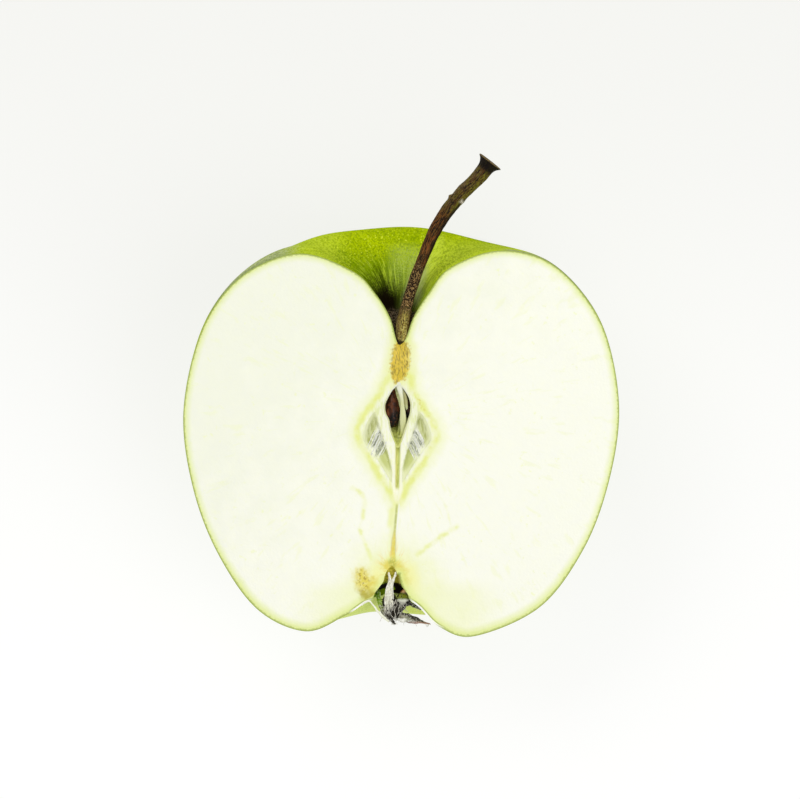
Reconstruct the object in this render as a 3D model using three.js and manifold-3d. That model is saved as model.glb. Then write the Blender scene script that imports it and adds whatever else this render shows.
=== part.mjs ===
// Half an apple, cut lengthwise through the stalk and the core, lying on its round back.
//
// Millimetres, +Z up. The fruit is drawn standing: its axis is Z, the stalk end is up, the knife's
// cut is the plane y = 0 and the kept half lies behind it, at y > 0. The whole is then laid down, cut
// side up, with the middle of the small flat spot that it rests on at the origin.
import * as THREE from "three";
import { mergeVertices } from "three/addons/utils/BufferGeometryUtils.js";
import Module from "manifold-3d";

const wasm = await Module();
wasm.setup();

// Driving dimensions. Heights are measured from the equator, the fruit's widest level.
const EQUATOR_RADIUS = 40;
const SHOULDER_HEIGHT = 30.5;
const LOBE_DEPTH = 41.5;
const REST_TILT = THREE.MathUtils.degToRad(12.5); // the stalk end lies higher than the calyx end
const FLAT_SPOT_DEPTH = 0.35; // how much the back is flattened where it rests
const TOUCH_GAP = 0.3; // between pieces that touch
const ROOM = EQUATOR_RADIUS * 3; // reach of the blocks that cut

// The flesh's outline, from the roof of the calyx cavity out and round to the floor of the stalk
// cavity, on the right edge of the cut, on its left edge and down the middle of the back. A knot is
// a radius as a share of EQUATOR_RADIUS, and a height as a share of SHOULDER_HEIGHT, or of
// LOBE_DEPTH below the equator.
const RIGHT_OUTLINE = [
  [0, -0.723], [0.012, -0.775], [0.046, -0.835], [0.095, -0.876], [0.188, -0.964], [0.348, -1.005],
  [0.645, -0.875], [0.84, -0.624], [0.955, -0.335], [1.01, 0], [0.963, 0.433], [0.853, 0.728],
  [0.672, 0.951], [0.448, 1.01], [0.233, 0.905], [0.133, 0.745], [0.066, 0.6], [0.029, 0.465], [0, 0.43],
];
const LEFT_OUTLINE = [
  [0, -0.723], [0.055, -0.752], [0.105, -0.824], [0.158, -0.855], [0.248, -0.911], [0.431, -0.983],
  [0.655, -0.88], [0.835, -0.624], [0.945, -0.335], [0.99, -0.012], [0.933, 0.413], [0.825, 0.708],
  [0.663, 0.905], [0.438, 0.993], [0.206, 0.88], [0.103, 0.738], [0.041, 0.6], [0.013, 0.465], [0, 0.43],
];
const BACK_OUTLINE = [
  [0, -0.723], [0.04, -0.754], [0.09, -0.819], [0.145, -0.863], [0.238, -0.923], [0.4, -0.976],
  [0.65, -0.868], [0.825, -0.627], [0.935, -0.337], [1, 0.04], [0.965, 0.41], [0.857, 0.72],
  [0.68, 0.951], [0.463, 1.025], [0.238, 0.9], [0.13, 0.745], [0.075, 0.605], [0.04, 0.48], [0, 0.43],
];
const STEPS_A_KNOT = 3;
const AZIMUTH_STEPS = 64;

// The crown and the base have five low ribs, one for each carpel. They are faint at the equator.
const RIBS = {
  count: 5,
  turn: THREE.MathUtils.degToRad(6),
  height: 0.5,
  swell: 0.012, // as a share of the radius
  flattened: 0.7, // what the equator takes off them, as a share
  equator: { at: 0.5, reach: 0.2 }, // shares along the outline
};

// Behind the right shoulder the crown is lower. Behind the left one it first stands out a little and
// then dips, and under the first rise is a shallow hollow. Places and reaches are shares of the way
// round from the cut to the middle of the back, and a level is a share of SHOULDER_HEIGHT.
const CROWN_FALL = 2.5;
const CROWN_BEND = 0.6;
const LEFT_DIP = { depth: 1.3, at: 0.64, reach: 0.17 };
const LEFT_SWELL = { depth: 0.75, at: 0.33, reach: 0.14 };
const LEFT_HOLLOW = { depth: 1.5, at: 0.38, reach: 0.18, level: { at: 0.68, reach: 0.2 } };

// The seed chamber that the cut opened, a spindle whose middle bows back behind the cut, and the
// parchment that lines it. The widest level is above the middle by skew.
const CHAMBER = { halfWidth: 2.5, halfDepth: 3.1, bow: 1.6, halfHeight: 5.7, skew: 0.5, point: 0.35 };
const POINT_GROWTH = 2; // how much further its points move than its sides when it grows
const LINING = 0.3;
// The strip of the wall between two chambers that the knife left across the mouth.
const SEPTUM = {
  route: [[0, 0.35, 6.1], [0.3, 0.35, 3.8], [0.72, 0.4, 0.8], [0.85, 0.5, -2.4], [0.35, 0.55, -5.3]],
  half: [0.4, 0.2],
};

// The walls of the next two chambers, which the knife only grazed.
const CARPEL = { across: 4.5, height: -3.9, lean: THREE.MathUtils.degToRad(20), half: [1.35, 0.8, 4.7] };

const SEED = {
  length: 7,
  width: 3.2,
  thickness: 2,
  lean: THREE.MathUtils.degToRad(6), // the pointed ends lean together
  blunt: 1.14,
  taper: 0.22,
};
const SEED_PLACES = { seed_left: [-1.35, 2.5, 1.2], seed_right: [1.55, 2.6, 1.1] };

// The stalk's half-widths are at equal steps from its foot to the end where it broke off, which
// flares out over the last stretch.
const STALK = {
  route: [
    [0.4, 1.15, 13.37], [0.98, 1.25, 18.37], [2.39, 1.45, 23.58], [4.38, 1.7, 29.06], [6.42, 1.9, 33.88],
    [8.77, 2, 37.72], [11.45, 2.05, 41.03], [14.4, 2.2, 43.96], [16.75, 2.7, 46.95],
  ],
  half: [0.98, 1.24, 1, 1, 1.04, 1.16, 1.24, 1.28, 1.3, 1.38, 1.62],
  flare: { half: 2.3, from: 0.925, length: 0.065, power: 2.2 },
};

// The tube that the cut opened above the calyx, from the basin up, with its half-widths at equal
// steps. It is a little deeper than it is wide.
const TUBE = {
  route: [[-0.2, 0, -38.5], [-0.55, 0, -36], [-1.35, 0, -34.2], [-1.5, 0, -31.3], [-1.28, 0, -28.4]],
  half: [2.6, 3.4, 3.2, 1.4, 0.3],
  deeper: 1.1,
};

// The dried calyx: three sepals that curl over one another, and the tuft of the pistil above them.
// Each is a flat bar along its own route, with its half-width and half-thickness, which both taper.
const CALYX = {
  pistil_tuft: { route: [[-1.24, 0.75, -29.4], [-1.55, 0.7, -32.5], [-1.85, 0.9, -36.8]], half: [0.7, 0.5] },
  sepal_left: { route: [[-4.1, 1.6, -33.4], [-3.25, 1.2, -36.2], [-0.8, 1.4, -39.6]], half: [0.6, 0.45] },
  sepal_right: {
    route: [[0.6, 2.5, -33.1], [0.65, 1.2, -34.5], [1.7, 0.9, -35.7], [3.9, 0.9, -36.9]],
    half: [0.9, 0.45],
  },
  sepal_tip: { route: [[-0.3, 2.2, -37.6], [1.2, 1.8, -38.7], [5.6, 2.4, -39.9]], half: [0.7, 0.4] },
};
const CALYX_TAPER = 0.6;

// How many facets each solid has: rings along it and sides round it.
const FACETS = {
  chamber: [14, 20],
  carpel: [12, 16],
  seed: [12, 14],
  septum: [8, 8],
  stalk: [40, 12],
  tube: [12, 16],
  calyx: [10, 8],
};
const ON_PLANE = 1e-3; // a vertex this near a plane lies on it

const SKIN_GREEN = 0x9fbf1f;
const STALK_BROWN = 0x4a2f22;
const SEED_BROWN = 0x3a1a12;
const LINING_PALE = 0xd8d7b0;
const CALYX_GREY = 0x6f6a56;

function finish(colour, roughness) {
  return new THREE.MeshStandardMaterial({ color: colour, roughness, metalness: 0 });
}

// ---- solids, joined and cut ----

function solidOf(geometry) {
  const bare = geometry.clone();
  bare.deleteAttribute("normal");
  bare.deleteAttribute("uv");
  const merged = mergeVertices(bare);
  return new wasm.Manifold(
    new wasm.Mesh({
      numProp: 3,
      vertProperties: new Float32Array(merged.attributes.position.array),
      triVerts: new Uint32Array(merged.index.array),
    }),
  );
}

function geometryOf(solid) {
  const mesh = solid.getMesh();
  const geometry = new THREE.BufferGeometry();
  geometry.setAttribute("position", new THREE.BufferAttribute(new Float32Array(mesh.vertProperties), 3));
  geometry.setIndex(new THREE.BufferAttribute(new Uint32Array(mesh.triVerts), 1));
  geometry.computeVertexNormals();
  return geometry;
}

function block(low, high) {
  const size = high.map((top, i) => top - low[i]);
  return new THREE.BoxGeometry(...size).translate(...low.map((bottom, i) => bottom + size[i] / 2));
}

const FRONT = solidOf(block([-ROOM, -ROOM, -ROOM], [ROOM, 0, ROOM])); // what the knife took away

// A closed ball of radius 1, whose radius at the height h is multiplied by shape(h).
function ballGeometry(shape, rings, sides) {
  const outline = [];
  for (let i = 0; i <= rings; i++) {
    const angle = Math.PI * (1 - i / rings);
    const height = Math.cos(angle);
    const atPole = i === 0 || i === rings;
    outline.push(new THREE.Vector2(atPole ? 0 : Math.sin(angle) * shape(height), height));
  }
  return new THREE.LatheGeometry(outline, sides).rotateX(Math.PI / 2);
}

// A closed bar along a smooth route. section(share) gives its half-widths at that share of the way:
// one across the route, in the plane of the cut, and one in depth.
function barGeometry(route, section, [steps, sides]) {
  const path = new THREE.CatmullRomCurve3(route.map((p) => new THREE.Vector3(...p)));
  const geometry = new THREE.CylinderGeometry(1, 1, 1, sides, steps);
  const position = geometry.attributes.position;
  const depth = new THREE.Vector3(0, 1, 0);
  for (let i = 0; i < position.count; i++) {
    const share = position.getY(i) + 0.5;
    const tangent = path.getTangent(share);
    const across = new THREE.Vector3().crossVectors(tangent, depth).normalize();
    const deep = new THREE.Vector3().crossVectors(across, tangent);
    const [halfWidth, halfDepth] = section(share);
    const point = path
      .getPoint(share)
      .addScaledVector(across, position.getX(i) * halfWidth)
      .addScaledVector(deep, position.getZ(i) * halfDepth);
    position.setXYZ(i, point.x, point.y, point.z);
  }
  return geometry;
}

// A number that runs smoothly through values at equal steps, at a share of the way.
function through(values) {
  const curve = new THREE.SplineCurve(values.map((value) => new THREE.Vector2(value, 0)));
  return (share) => curve.getPoint(share).x;
}

// 1 at a place, falling away on both sides of it.
function bell(value, { at, reach }) {
  return Math.exp(-(((value - at) / reach) ** 2));
}

// ---- the flesh ----

function profile(outline) {
  const knots = outline.map(([radius, height]) => {
    const reach = height < 0 ? LOBE_DEPTH : SHOULDER_HEIGHT;
    return new THREE.Vector2(radius * EQUATOR_RADIUS, height * reach);
  });
  return new THREE.SplineCurve(knots).getPoints((knots.length - 1) * STEPS_A_KNOT);
}

function fruitGeometry() {
  const [right, left, back] = [RIGHT_OUTLINE, LEFT_OUTLINE, BACK_OUTLINE].map(profile);
  const geometry = new THREE.LatheGeometry(right, AZIMUTH_STEPS);
  const position = geometry.attributes.position;
  const point = new THREE.Vector2();
  for (let i = 0; i < position.count; i++) {
    const j = i % right.length;
    const ring = Math.floor(i / right.length) % AZIMUTH_STEPS;
    const azimuth = ((ring + 0.5) * 2 * Math.PI) / AZIMUTH_STEPS;
    const [across, behind] = [Math.cos(azimuth), Math.sin(azimuth)];
    const rightward = (1 + across) / 2;
    point
      .set(0, 0)
      .addScaledVector(right[j], rightward * across ** 2)
      .addScaledVector(left[j], (1 - rightward) * across ** 2)
      .addScaledVector(back[j], behind ** 2);

    // Ribs fade out in the two cavities.
    const along = j / (right.length - 1);
    const outOfCavity = Math.sqrt(Math.sin(Math.PI * along));
    const faint = 1 - RIBS.flattened * bell(along, RIBS.equator);
    const rib = outOfCavity * faint * behind ** 2 * Math.cos(RIBS.count * (azimuth - RIBS.turn));
    const crown = Math.max(0, point.y / SHOULDER_HEIGHT) * outOfCavity;
    const rightFall = CROWN_FALL * rightward ** 2 * behind * (1 + CROWN_BEND * (1 - behind));
    const dip = LEFT_DIP.depth * bell(behind, LEFT_DIP);
    const swell = LEFT_SWELL.depth * bell(behind, LEFT_SWELL) * crown ** 3;
    const hollow = LEFT_HOLLOW.depth * bell(behind, LEFT_HOLLOW) * bell(crown, LEFT_HOLLOW.level);
    const fall = crown * (rightFall + (dip - swell + hollow) * (1 - rightward) ** 4);

    const radius = point.x * (1 + RIBS.swell * rib);
    const height = point.y + Math.sign(point.y) * RIBS.height * rib - fall;
    position.setXYZ(i, radius * across, radius * behind, height);
  }
  return geometry;
}

function fleshSolid() {
  let flesh = solidOf(fruitGeometry()).subtract(FRONT);
  const sockets = [
    chamberGeometry(TOUCH_GAP),
    carpelGeometry(-1, TOUCH_GAP),
    carpelGeometry(1, TOUCH_GAP),
    stalkGeometry(TOUCH_GAP),
    tubeGeometry(),
    ...Object.values(CALYX).map((shape) => calyxGeometry(shape, TOUCH_GAP)),
  ];
  for (const socket of sockets) {
    flesh = flesh.subtract(solidOf(socket));
  }
  return flesh;
}

// Where the laid-down half touches the table: the way down, in the standing fruit's own directions,
// and how far down the flattened back reaches.
function restingPlane(flesh) {
  const down = new THREE.Vector3(0, Math.cos(REST_TILT), -Math.sin(REST_TILT));
  const points = geometryOf(flesh).attributes.position;
  const vertex = new THREE.Vector3();
  let lowest = 0;
  for (let i = 0; i < points.count; i++) {
    lowest = Math.max(lowest, vertex.fromBufferAttribute(points, i).dot(down));
  }
  return { down, reach: lowest - FLAT_SPOT_DEPTH };
}

function flattened(flesh, { down, reach }) {
  const table = block([-ROOM, -ROOM, reach], [ROOM, ROOM, reach + ROOM]);
  const turn = new THREE.Quaternion().setFromUnitVectors(new THREE.Vector3(0, 0, 1), down);
  return flesh.subtract(solidOf(table.applyQuaternion(turn)));
}

// The middle of the flat spot.
function restingPoint(flesh, { down, reach }) {
  const points = geometryOf(flesh).attributes.position;
  const spot = new THREE.Box3();
  const vertex = new THREE.Vector3();
  for (let i = 0; i < points.count; i++) {
    vertex.fromBufferAttribute(points, i);
    if (vertex.dot(down) > reach - ON_PLANE) {
      spot.expandByPoint(vertex);
    }
  }
  return spot.getCenter(vertex);
}

// ---- the core ----

function chamberGeometry(grow) {
  const { halfWidth, halfDepth, bow, halfHeight, skew, point } = CHAMBER;
  const pointed = (height) => (1 - height ** 2) ** point * (1 + skew * height);
  const geometry = ballGeometry(pointed, ...FACETS.chamber);
  const position = geometry.attributes.position;
  for (let i = 0; i < position.count; i++) {
    const [x, y, z] = [position.getX(i), position.getY(i), position.getZ(i)];
    const roundness = Math.sqrt(Math.max(0, 1 - z ** 2));
    const behind = bow * roundness * (roundness > 0 ? pointed(z) : 0) + y * (halfDepth + grow);
    position.setXYZ(i, x * (halfWidth + grow), behind, z * (halfHeight + POINT_GROWTH * grow));
  }
  return geometry;
}

function liningSolid() {
  const cup = solidOf(chamberGeometry(0)).subtract(solidOf(chamberGeometry(-LINING)));
  const strip = solidOf(barGeometry(SEPTUM.route, () => SEPTUM.half, FACETS.septum));
  const room = solidOf(chamberGeometry(-LINING / 2)); // the strip's ends are let into the lining
  return cup.add(strip.intersect(room)).subtract(FRONT);
}

function carpelGeometry(side, grow) {
  const half = CARPEL.half.map((reach) => reach + grow);
  return ballGeometry(() => 1, ...FACETS.carpel)
    .scale(...half)
    .rotateY(side * -CARPEL.lean)
    .translate(side * CARPEL.across, 0, CARPEL.height);
}

// A seed lies in the chamber, and where it fills it takes the chamber's shape.
function seedSolid(middle) {
  const teardrop = (height) => SEED.blunt * (1 - SEED.taper * (1 + height)); // the pointed end is up
  const seed = ballGeometry(teardrop, ...FACETS.seed)
    .scale(SEED.thickness / 2, SEED.width / 2, SEED.length / 2)
    .rotateY(Math.sign(middle[0]) * -SEED.lean)
    .translate(...middle);
  return solidOf(seed).intersect(solidOf(chamberGeometry(-LINING - TOUCH_GAP)));
}

// ---- the stalk and the calyx ----

function stalkGeometry(gap) {
  const { route, half, flare } = STALK;
  const plain = through(half);
  const section = (share) => {
    const flared = Math.min(1, Math.max(0, (share - flare.from) / flare.length)) ** flare.power;
    const radius = THREE.MathUtils.lerp(plain(share), flare.half, flared) + gap;
    return [radius, radius];
  };
  const sunk = route.map(([x, y, z], i) => [x, y, i === 0 ? z - gap : z]);
  return barGeometry(sunk, section, FACETS.stalk);
}

function tubeGeometry() {
  const half = through(TUBE.half);
  return barGeometry(TUBE.route, (share) => [half(share), half(share) * TUBE.deeper], FACETS.tube);
}

function calyxGeometry({ route, half }, gap) {
  const section = (share) => half.map((reach) => reach * (1 - CALYX_TAPER * share ** 2) + gap);
  return barGeometry(route, section, FACETS.calyx);
}

// ---- the whole ----

function piece(name, geometry, material) {
  const mesh = new THREE.Mesh(geometry, material);
  mesh.name = name;
  return mesh;
}

const roundFlesh = fleshSolid();
const table = restingPlane(roundFlesh);
const flesh = flattened(roundFlesh, table);

const fruit = new THREE.Group();
fruit.add(piece("apple_half", geometryOf(flesh), finish(SKIN_GREEN, 0.35)));
fruit.add(piece("seed_chamber", geometryOf(liningSolid()), finish(LINING_PALE, 0.5)));
for (const [name, side] of [["carpel_left", -1], ["carpel_right", 1]]) {
  const wall = solidOf(carpelGeometry(side, 0)).subtract(FRONT);
  fruit.add(piece(name, geometryOf(wall), finish(LINING_PALE, 0.5)));
}
for (const [name, middle] of Object.entries(SEED_PLACES)) {
  fruit.add(piece(name, geometryOf(seedSolid(middle)), finish(SEED_BROWN, 0.3)));
}
fruit.add(piece("stem", stalkGeometry(0), finish(STALK_BROWN, 0.7)));
for (const [name, shape] of Object.entries(CALYX)) {
  fruit.add(piece(name, calyxGeometry(shape, 0), finish(CALYX_GREY, 0.8)));
}

fruit.rotation.x = REST_TILT - Math.PI / 2;
fruit.position.copy(restingPoint(flesh, table)).applyEuler(fruit.rotation).negate();
const half = new THREE.Group();
half.add(fruit);

export default half;
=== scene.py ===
"""Half of a green apple, cut lengthwise, lying on its round back with the cut face up.

Every piece is modelled in the standing fruit's own directions, in millimetres: X to the right of the
cut face, Y behind the knife's cut and Z up the axis to the stalk, with the origin at the equator. It
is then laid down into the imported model's frame, which is in metres.
"""
import logging
import math
import random
from contextlib import contextmanager
from dataclasses import dataclass
from enum import Enum
from typing import Callable, Iterator, Sequence

import bmesh
import bpy
import numpy as np
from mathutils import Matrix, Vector, noise


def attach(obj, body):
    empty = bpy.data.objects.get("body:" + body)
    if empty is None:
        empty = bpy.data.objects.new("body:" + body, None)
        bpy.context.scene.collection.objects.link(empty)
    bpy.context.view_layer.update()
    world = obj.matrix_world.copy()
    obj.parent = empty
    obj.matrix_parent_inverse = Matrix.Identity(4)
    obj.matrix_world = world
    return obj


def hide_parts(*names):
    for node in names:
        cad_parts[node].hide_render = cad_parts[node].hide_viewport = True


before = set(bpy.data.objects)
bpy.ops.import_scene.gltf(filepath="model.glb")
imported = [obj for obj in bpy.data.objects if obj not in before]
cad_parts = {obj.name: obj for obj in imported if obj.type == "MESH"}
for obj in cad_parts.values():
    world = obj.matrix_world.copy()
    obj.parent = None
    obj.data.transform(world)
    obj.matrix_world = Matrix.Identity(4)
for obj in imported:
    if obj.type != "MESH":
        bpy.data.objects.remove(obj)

LOG = logging.getLogger("apple")
BODY = "root"
MM = 0.001
ROOM = 60.0  # reach of the blocks that cut, in mm
SLANT = (0.9, 0.437)  # cosine and sine of the slope of the fibres in the grazed chambers

Route = Sequence[tuple[float, ...]]


class Slot(Enum):
    """The record's finishes that a piece can take."""

    FLESH = "flesh"
    WALL = "chamber_wall"
    SEED = "seed"
    STALK = "stalk"
    PISTIL = "pistil"
    SEPAL = "sepal"


class Side(Enum):
    """The two sides of the core, as the sign of X."""

    LEFT = -1
    RIGHT = 1


# ---- shapes as functions ----


def scattered(draw: random.Random, *spans: tuple[float, float]) -> np.ndarray:
    """A random place, with one span for each of its measures."""
    return np.array([draw.uniform(*span) for span in spans])


def spline(knots: Route, share: np.ndarray) -> np.ndarray:
    """Follows a smooth line through knots.

    Args:
        knots: the points that the line runs through, each of any number of measures.
        share: places along it, from 0 at the first knot to 1 at the last.

    Returns:
        One row of measures for each place.
    """
    knots = np.asarray(knots, float)
    last = len(knots) - 1
    place = np.clip(share, 0, 1) * last
    index = np.minimum(place.astype(int), last - 1)
    part = (place - index)[:, None]
    before = knots[np.maximum(index - 1, 0)]
    start, end = knots[index], knots[index + 1]
    after = knots[np.minimum(index + 2, last)]
    leave, arrive = (end - before) / 2, (after - start) / 2
    cubic = 2 * start - 2 * end + leave + arrive
    square = 3 * end - 3 * start - 2 * leave - arrive
    return ((cubic * part + square) * part + leave) * part + start


def profile(knots: Sequence[float], share: np.ndarray) -> np.ndarray:
    """Follows a smooth line through single measures, at each share of its length."""
    return spline([(knot,) for knot in knots], share)[:, 0]


def fade(value: np.ndarray, low: float, high: float) -> np.ndarray:
    """Rises smoothly from 0 at low to 1 at high, or falls where high is under low."""
    share = np.clip((value - low) / (high - low), 0, 1)
    return share * share * (3 - 2 * share)


def grain(points: np.ndarray, size: float | Sequence[float], octaves: int = 2) -> np.ndarray:
    """Smooth seeded noise.

    Args:
        points: places in mm, one row each.
        size: the noise's size in mm, or one size for each axis.
        octaves: how many finer layers it has.

    Returns:
        About -1 to 1 for each place.
    """
    scaled = points / np.asarray(size, float)
    return np.array([noise.fractal(Vector(p), 1.0, 2.0, octaves) for p in scaled])


def distance_to(line: np.ndarray, points: np.ndarray) -> np.ndarray:
    """Distance from a line in the plane of the cut.

    Args:
        line: its corners, as rows of x and z.
        points: the places to measure, as rows of x and z.

    Returns:
        The distance of each place. Of an open line it is under 0 on the left of its direction, and of
        a closed one under 0 inside.
    """
    start, run = line[:-1], np.diff(line, axis=0)
    length = (run ** 2).sum(1)
    closed = np.allclose(line[0], line[-1])
    found = []
    for part in np.array_split(points, max(1, len(points) // 4000)):
        away = part[:, None] - start
        share = np.clip((away * run).sum(2) / length, 0, 1)
        rest = away - share[..., None] * run
        size = (rest ** 2).sum(2)
        nearest = size.argmin(1)
        row = np.arange(len(part))
        if closed:
            level = np.where(run[:, 1] == 0, 1e-9, run[:, 1])
            beyond = away[..., 0] < run[:, 0] * away[..., 1] / level
            spans = (away[..., 1] >= 0) != (away[..., 1] - run[:, 1] >= 0)
            negative = (spans & beyond).sum(1) % 2 == 1
        else:
            side = run[nearest, 1] * rest[row, nearest, 0] - run[nearest, 0] * rest[row, nearest, 1]
            negative = side < 0
        found.append(np.sqrt(size[row, nearest]) * np.where(negative, -1, 1))
    return np.concatenate(found)


@dataclass(frozen=True)
class Fruit:
    """The round fruit, and how its half lies.

    An outline runs from the roof of the calyx cavity out and round to the floor of the stalk cavity. A
    knot is a radius as a share of the equator's, and a height as a share of the shoulder's, or of the
    lobe's below the equator.
    """

    equator: float = 40.0
    shoulder: float = 30.5
    lobe: float = 41.5
    tilt: float = math.radians(12.5)
    origin: tuple[float, float, float] = (-0.82559, 2.375683, 39.31494)
    ribs: int = 5
    rib_turn: float = math.radians(6)
    rib_height: float = 0.5
    rib_swell: float = 0.012
    crown_fall: float = 2.5
    left_dip: tuple[float, float, float] = (1.3, 0.64, 0.17)  # mm, and its place and reach behind the cut
    left_swell: tuple[float, float, float] = (0.75, 0.33, 0.14)  # it fades below the crown
    left_hollow: tuple[float, float, float] = (1.5, 0.38, 0.18)
    hollow_level: tuple[float, float] = (0.68, 0.2)  # its place and reach, as shares of the crown
    right: Route = (
        (0, -0.723), (0.012, -0.775), (0.046, -0.835), (0.095, -0.876), (0.188, -0.964), (0.348, -1.005),
        (0.645, -0.875), (0.84, -0.624), (0.955, -0.335), (1.01, 0), (0.963, 0.433), (0.853, 0.728),
        (0.672, 0.951), (0.448, 1.01), (0.233, 0.905), (0.133, 0.745), (0.066, 0.6), (0.029, 0.465),
        (0, 0.43),
    )
    left: Route = (
        (0, -0.723), (0.055, -0.752), (0.105, -0.824), (0.158, -0.855), (0.248, -0.911), (0.431, -0.983),
        (0.655, -0.88), (0.835, -0.624), (0.945, -0.335), (0.99, -0.012), (0.933, 0.413), (0.825, 0.708),
        (0.663, 0.905), (0.438, 0.993), (0.206, 0.88), (0.103, 0.738), (0.041, 0.6), (0.013, 0.465),
        (0, 0.43),
    )
    back: Route = (
        (0, -0.723), (0.04, -0.754), (0.09, -0.819), (0.145, -0.863), (0.238, -0.923), (0.4, -0.976),
        (0.65, -0.868), (0.825, -0.627), (0.935, -0.337), (1, 0.04), (0.965, 0.41), (0.857, 0.72),
        (0.68, 0.951), (0.463, 1.025), (0.238, 0.9), (0.13, 0.745), (0.075, 0.605), (0.04, 0.48), (0, 0.43),
    )

    def outline(self, knots: Route, along: np.ndarray) -> np.ndarray:
        """Radius and height in mm along one outline."""
        real = [(r * self.equator, h * (self.lobe if h < 0 else self.shoulder)) for r, h in knots]
        return spline(real, along)

    def surface(self, azimuth: np.ndarray, along: np.ndarray) -> np.ndarray:
        """Points of the skin.

        Args:
            azimuth: the angle round the axis, from +X.
            along: the share of the outline, from the calyx cavity's roof to the stalk cavity's floor.

        Returns:
            One row of x, y and z in mm for each.
        """
        across, behind = np.cos(azimuth), np.sin(azimuth)
        rightward = (1 + across) / 2
        point = (
            self.outline(self.right, along) * (rightward * across ** 2)[:, None]
            + self.outline(self.left, along) * ((1 - rightward) * across ** 2)[:, None]
            + self.outline(self.back, along) * (behind ** 2)[:, None]
        )
        radius, height = point.T
        out_of_cavity = np.sqrt(np.clip(np.sin(np.pi * along), 0, 1))
        at_equator = np.exp(-(((along - 0.5) / 0.2) ** 2))
        swing = np.cos(self.ribs * (azimuth - self.rib_turn))
        rib = out_of_cavity * (1 - 0.7 * at_equator) * behind ** 2 * swing
        crown = np.maximum(0, height / self.shoulder) * out_of_cavity
        right_fall = self.crown_fall * rightward ** 2 * behind * (1.6 - 0.6 * behind)
        dip, swell, hollow = (
            amount * np.exp(-(((behind - place) / reach) ** 2))
            for amount, place, reach in (self.left_dip, self.left_swell, self.left_hollow)
        )
        level, reach = self.hollow_level
        left_fall = dip - swell * crown ** 3 + hollow * np.exp(-(((crown - level) / reach) ** 2))
        fall = crown * (right_fall + left_fall * (1 - rightward) ** 4)
        radius = radius * (1 + self.rib_swell * rib)
        height = height + np.sign(height) * self.rib_height * rib - fall
        return np.column_stack([radius * across, radius * behind, height])

    def cut_edge(self) -> np.ndarray:
        """The skin's line round the cut face, as rows of x and z."""
        share = np.linspace(0, 1, 400)
        right = self.outline(self.right, share)
        left = self.outline(self.left, share)[::-1] * (-1, 1)
        return np.concatenate([right, left[1:]])

    def laid(self, points: np.ndarray) -> np.ndarray:
        """Turns points of the standing fruit into the frame, in metres."""
        x, y, z = points.T
        sine, cosine = math.sin(self.tilt), math.cos(self.tilt)
        turned = np.column_stack([x, y * sine + z * cosine, z * sine - y * cosine])
        return (turned + self.origin) * MM


FRUIT = Fruit()


# ---- Blender's operators, one piece at a time ----


def pick(*pieces: bpy.types.Object) -> bpy.types.Object:
    """Selects these pieces only, makes the first one active and returns it."""
    bpy.ops.object.select_all(action="DESELECT")
    for piece in pieces:
        piece.select_set(True)
    bpy.context.view_layer.objects.active = pieces[0]
    return pieces[0]


@contextmanager
def editing(piece: bpy.types.Object) -> Iterator[bmesh.types.BMesh]:
    """Opens a piece in edit mode with all of it selected, and closes it again."""
    pick(piece)
    bpy.ops.object.mode_set(mode="EDIT")
    bpy.ops.mesh.select_all(action="SELECT")
    yield bmesh.from_edit_mesh(piece.data)
    bpy.ops.object.mode_set(mode="OBJECT")


def points_of(piece: bpy.types.Object) -> np.ndarray:
    """The piece's vertices, one row each."""
    flat = np.empty(len(piece.data.vertices) * 3)
    piece.data.vertices.foreach_get("co", flat)
    return flat.reshape(-1, 3)


def place(piece: bpy.types.Object, points: np.ndarray) -> bpy.types.Object:
    """Moves the piece's vertices to these rows."""
    piece.data.vertices.foreach_set("co", np.asarray(points, float).ravel())
    piece.data.update()
    return piece


def named(name: str) -> bpy.types.Object:
    """Names the piece that an operator has just added."""
    piece = bpy.context.object
    piece.name = piece.data.name = name
    return piece


def modify(piece: bpy.types.Object, kind: str, **settings: object) -> bpy.types.Object:
    """Adds a modifier and applies it.

    Args:
        piece: the piece to change.
        kind: the modifier's type.
        settings: its settings, by name.

    Returns:
        The same piece.
    """
    pick(piece)
    modifier = piece.modifiers.new(kind.lower(), kind)
    for setting, value in settings.items():
        setattr(modifier, setting, value)
    bpy.ops.object.modifier_apply(modifier=modifier.name)
    return piece


def cut_out(piece: bpy.types.Object, cutter: bpy.types.Object) -> bpy.types.Object:
    """Cuts a closed cutter out of a piece, and deletes the cutter."""
    settings = {"operation": "DIFFERENCE", "solver": "MANIFOLD", "material_mode": "TRANSFER"}
    modify(piece, "BOOLEAN", **settings, object=cutter)
    bpy.data.objects.remove(cutter)
    return piece


def join(pieces: Sequence[bpy.types.Object], name: str) -> bpy.types.Object:
    """Joins pieces into one, which takes the name."""
    pick(*pieces)
    bpy.ops.object.join()
    return named(name)


def outward(piece: bpy.types.Object) -> bpy.types.Object:
    """Turns a closed piece's faces out."""
    with editing(piece):
        bpy.ops.mesh.normals_make_consistent(inside=False)
    return piece


def ball(name: str, sides: int, rings: int) -> tuple[bpy.types.Object, np.ndarray, np.ndarray]:
    """Adds a ball to be shaped.

    Args:
        name: the piece's name.
        sides: how many meridians it has.
        rings: how many steps from pole to pole.

    Returns:
        The ball, and each vertex's azimuth and its share of the way up from the lower pole.
    """
    bpy.ops.object.select_all(action="DESELECT")
    bpy.ops.mesh.primitive_uv_sphere_add(segments=sides, ring_count=rings, radius=1)
    piece = named(name)
    x, y, z = points_of(piece).T
    return piece, np.arctan2(y, x), 1 - np.arccos(np.clip(z, -1, 1)) / np.pi


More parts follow.
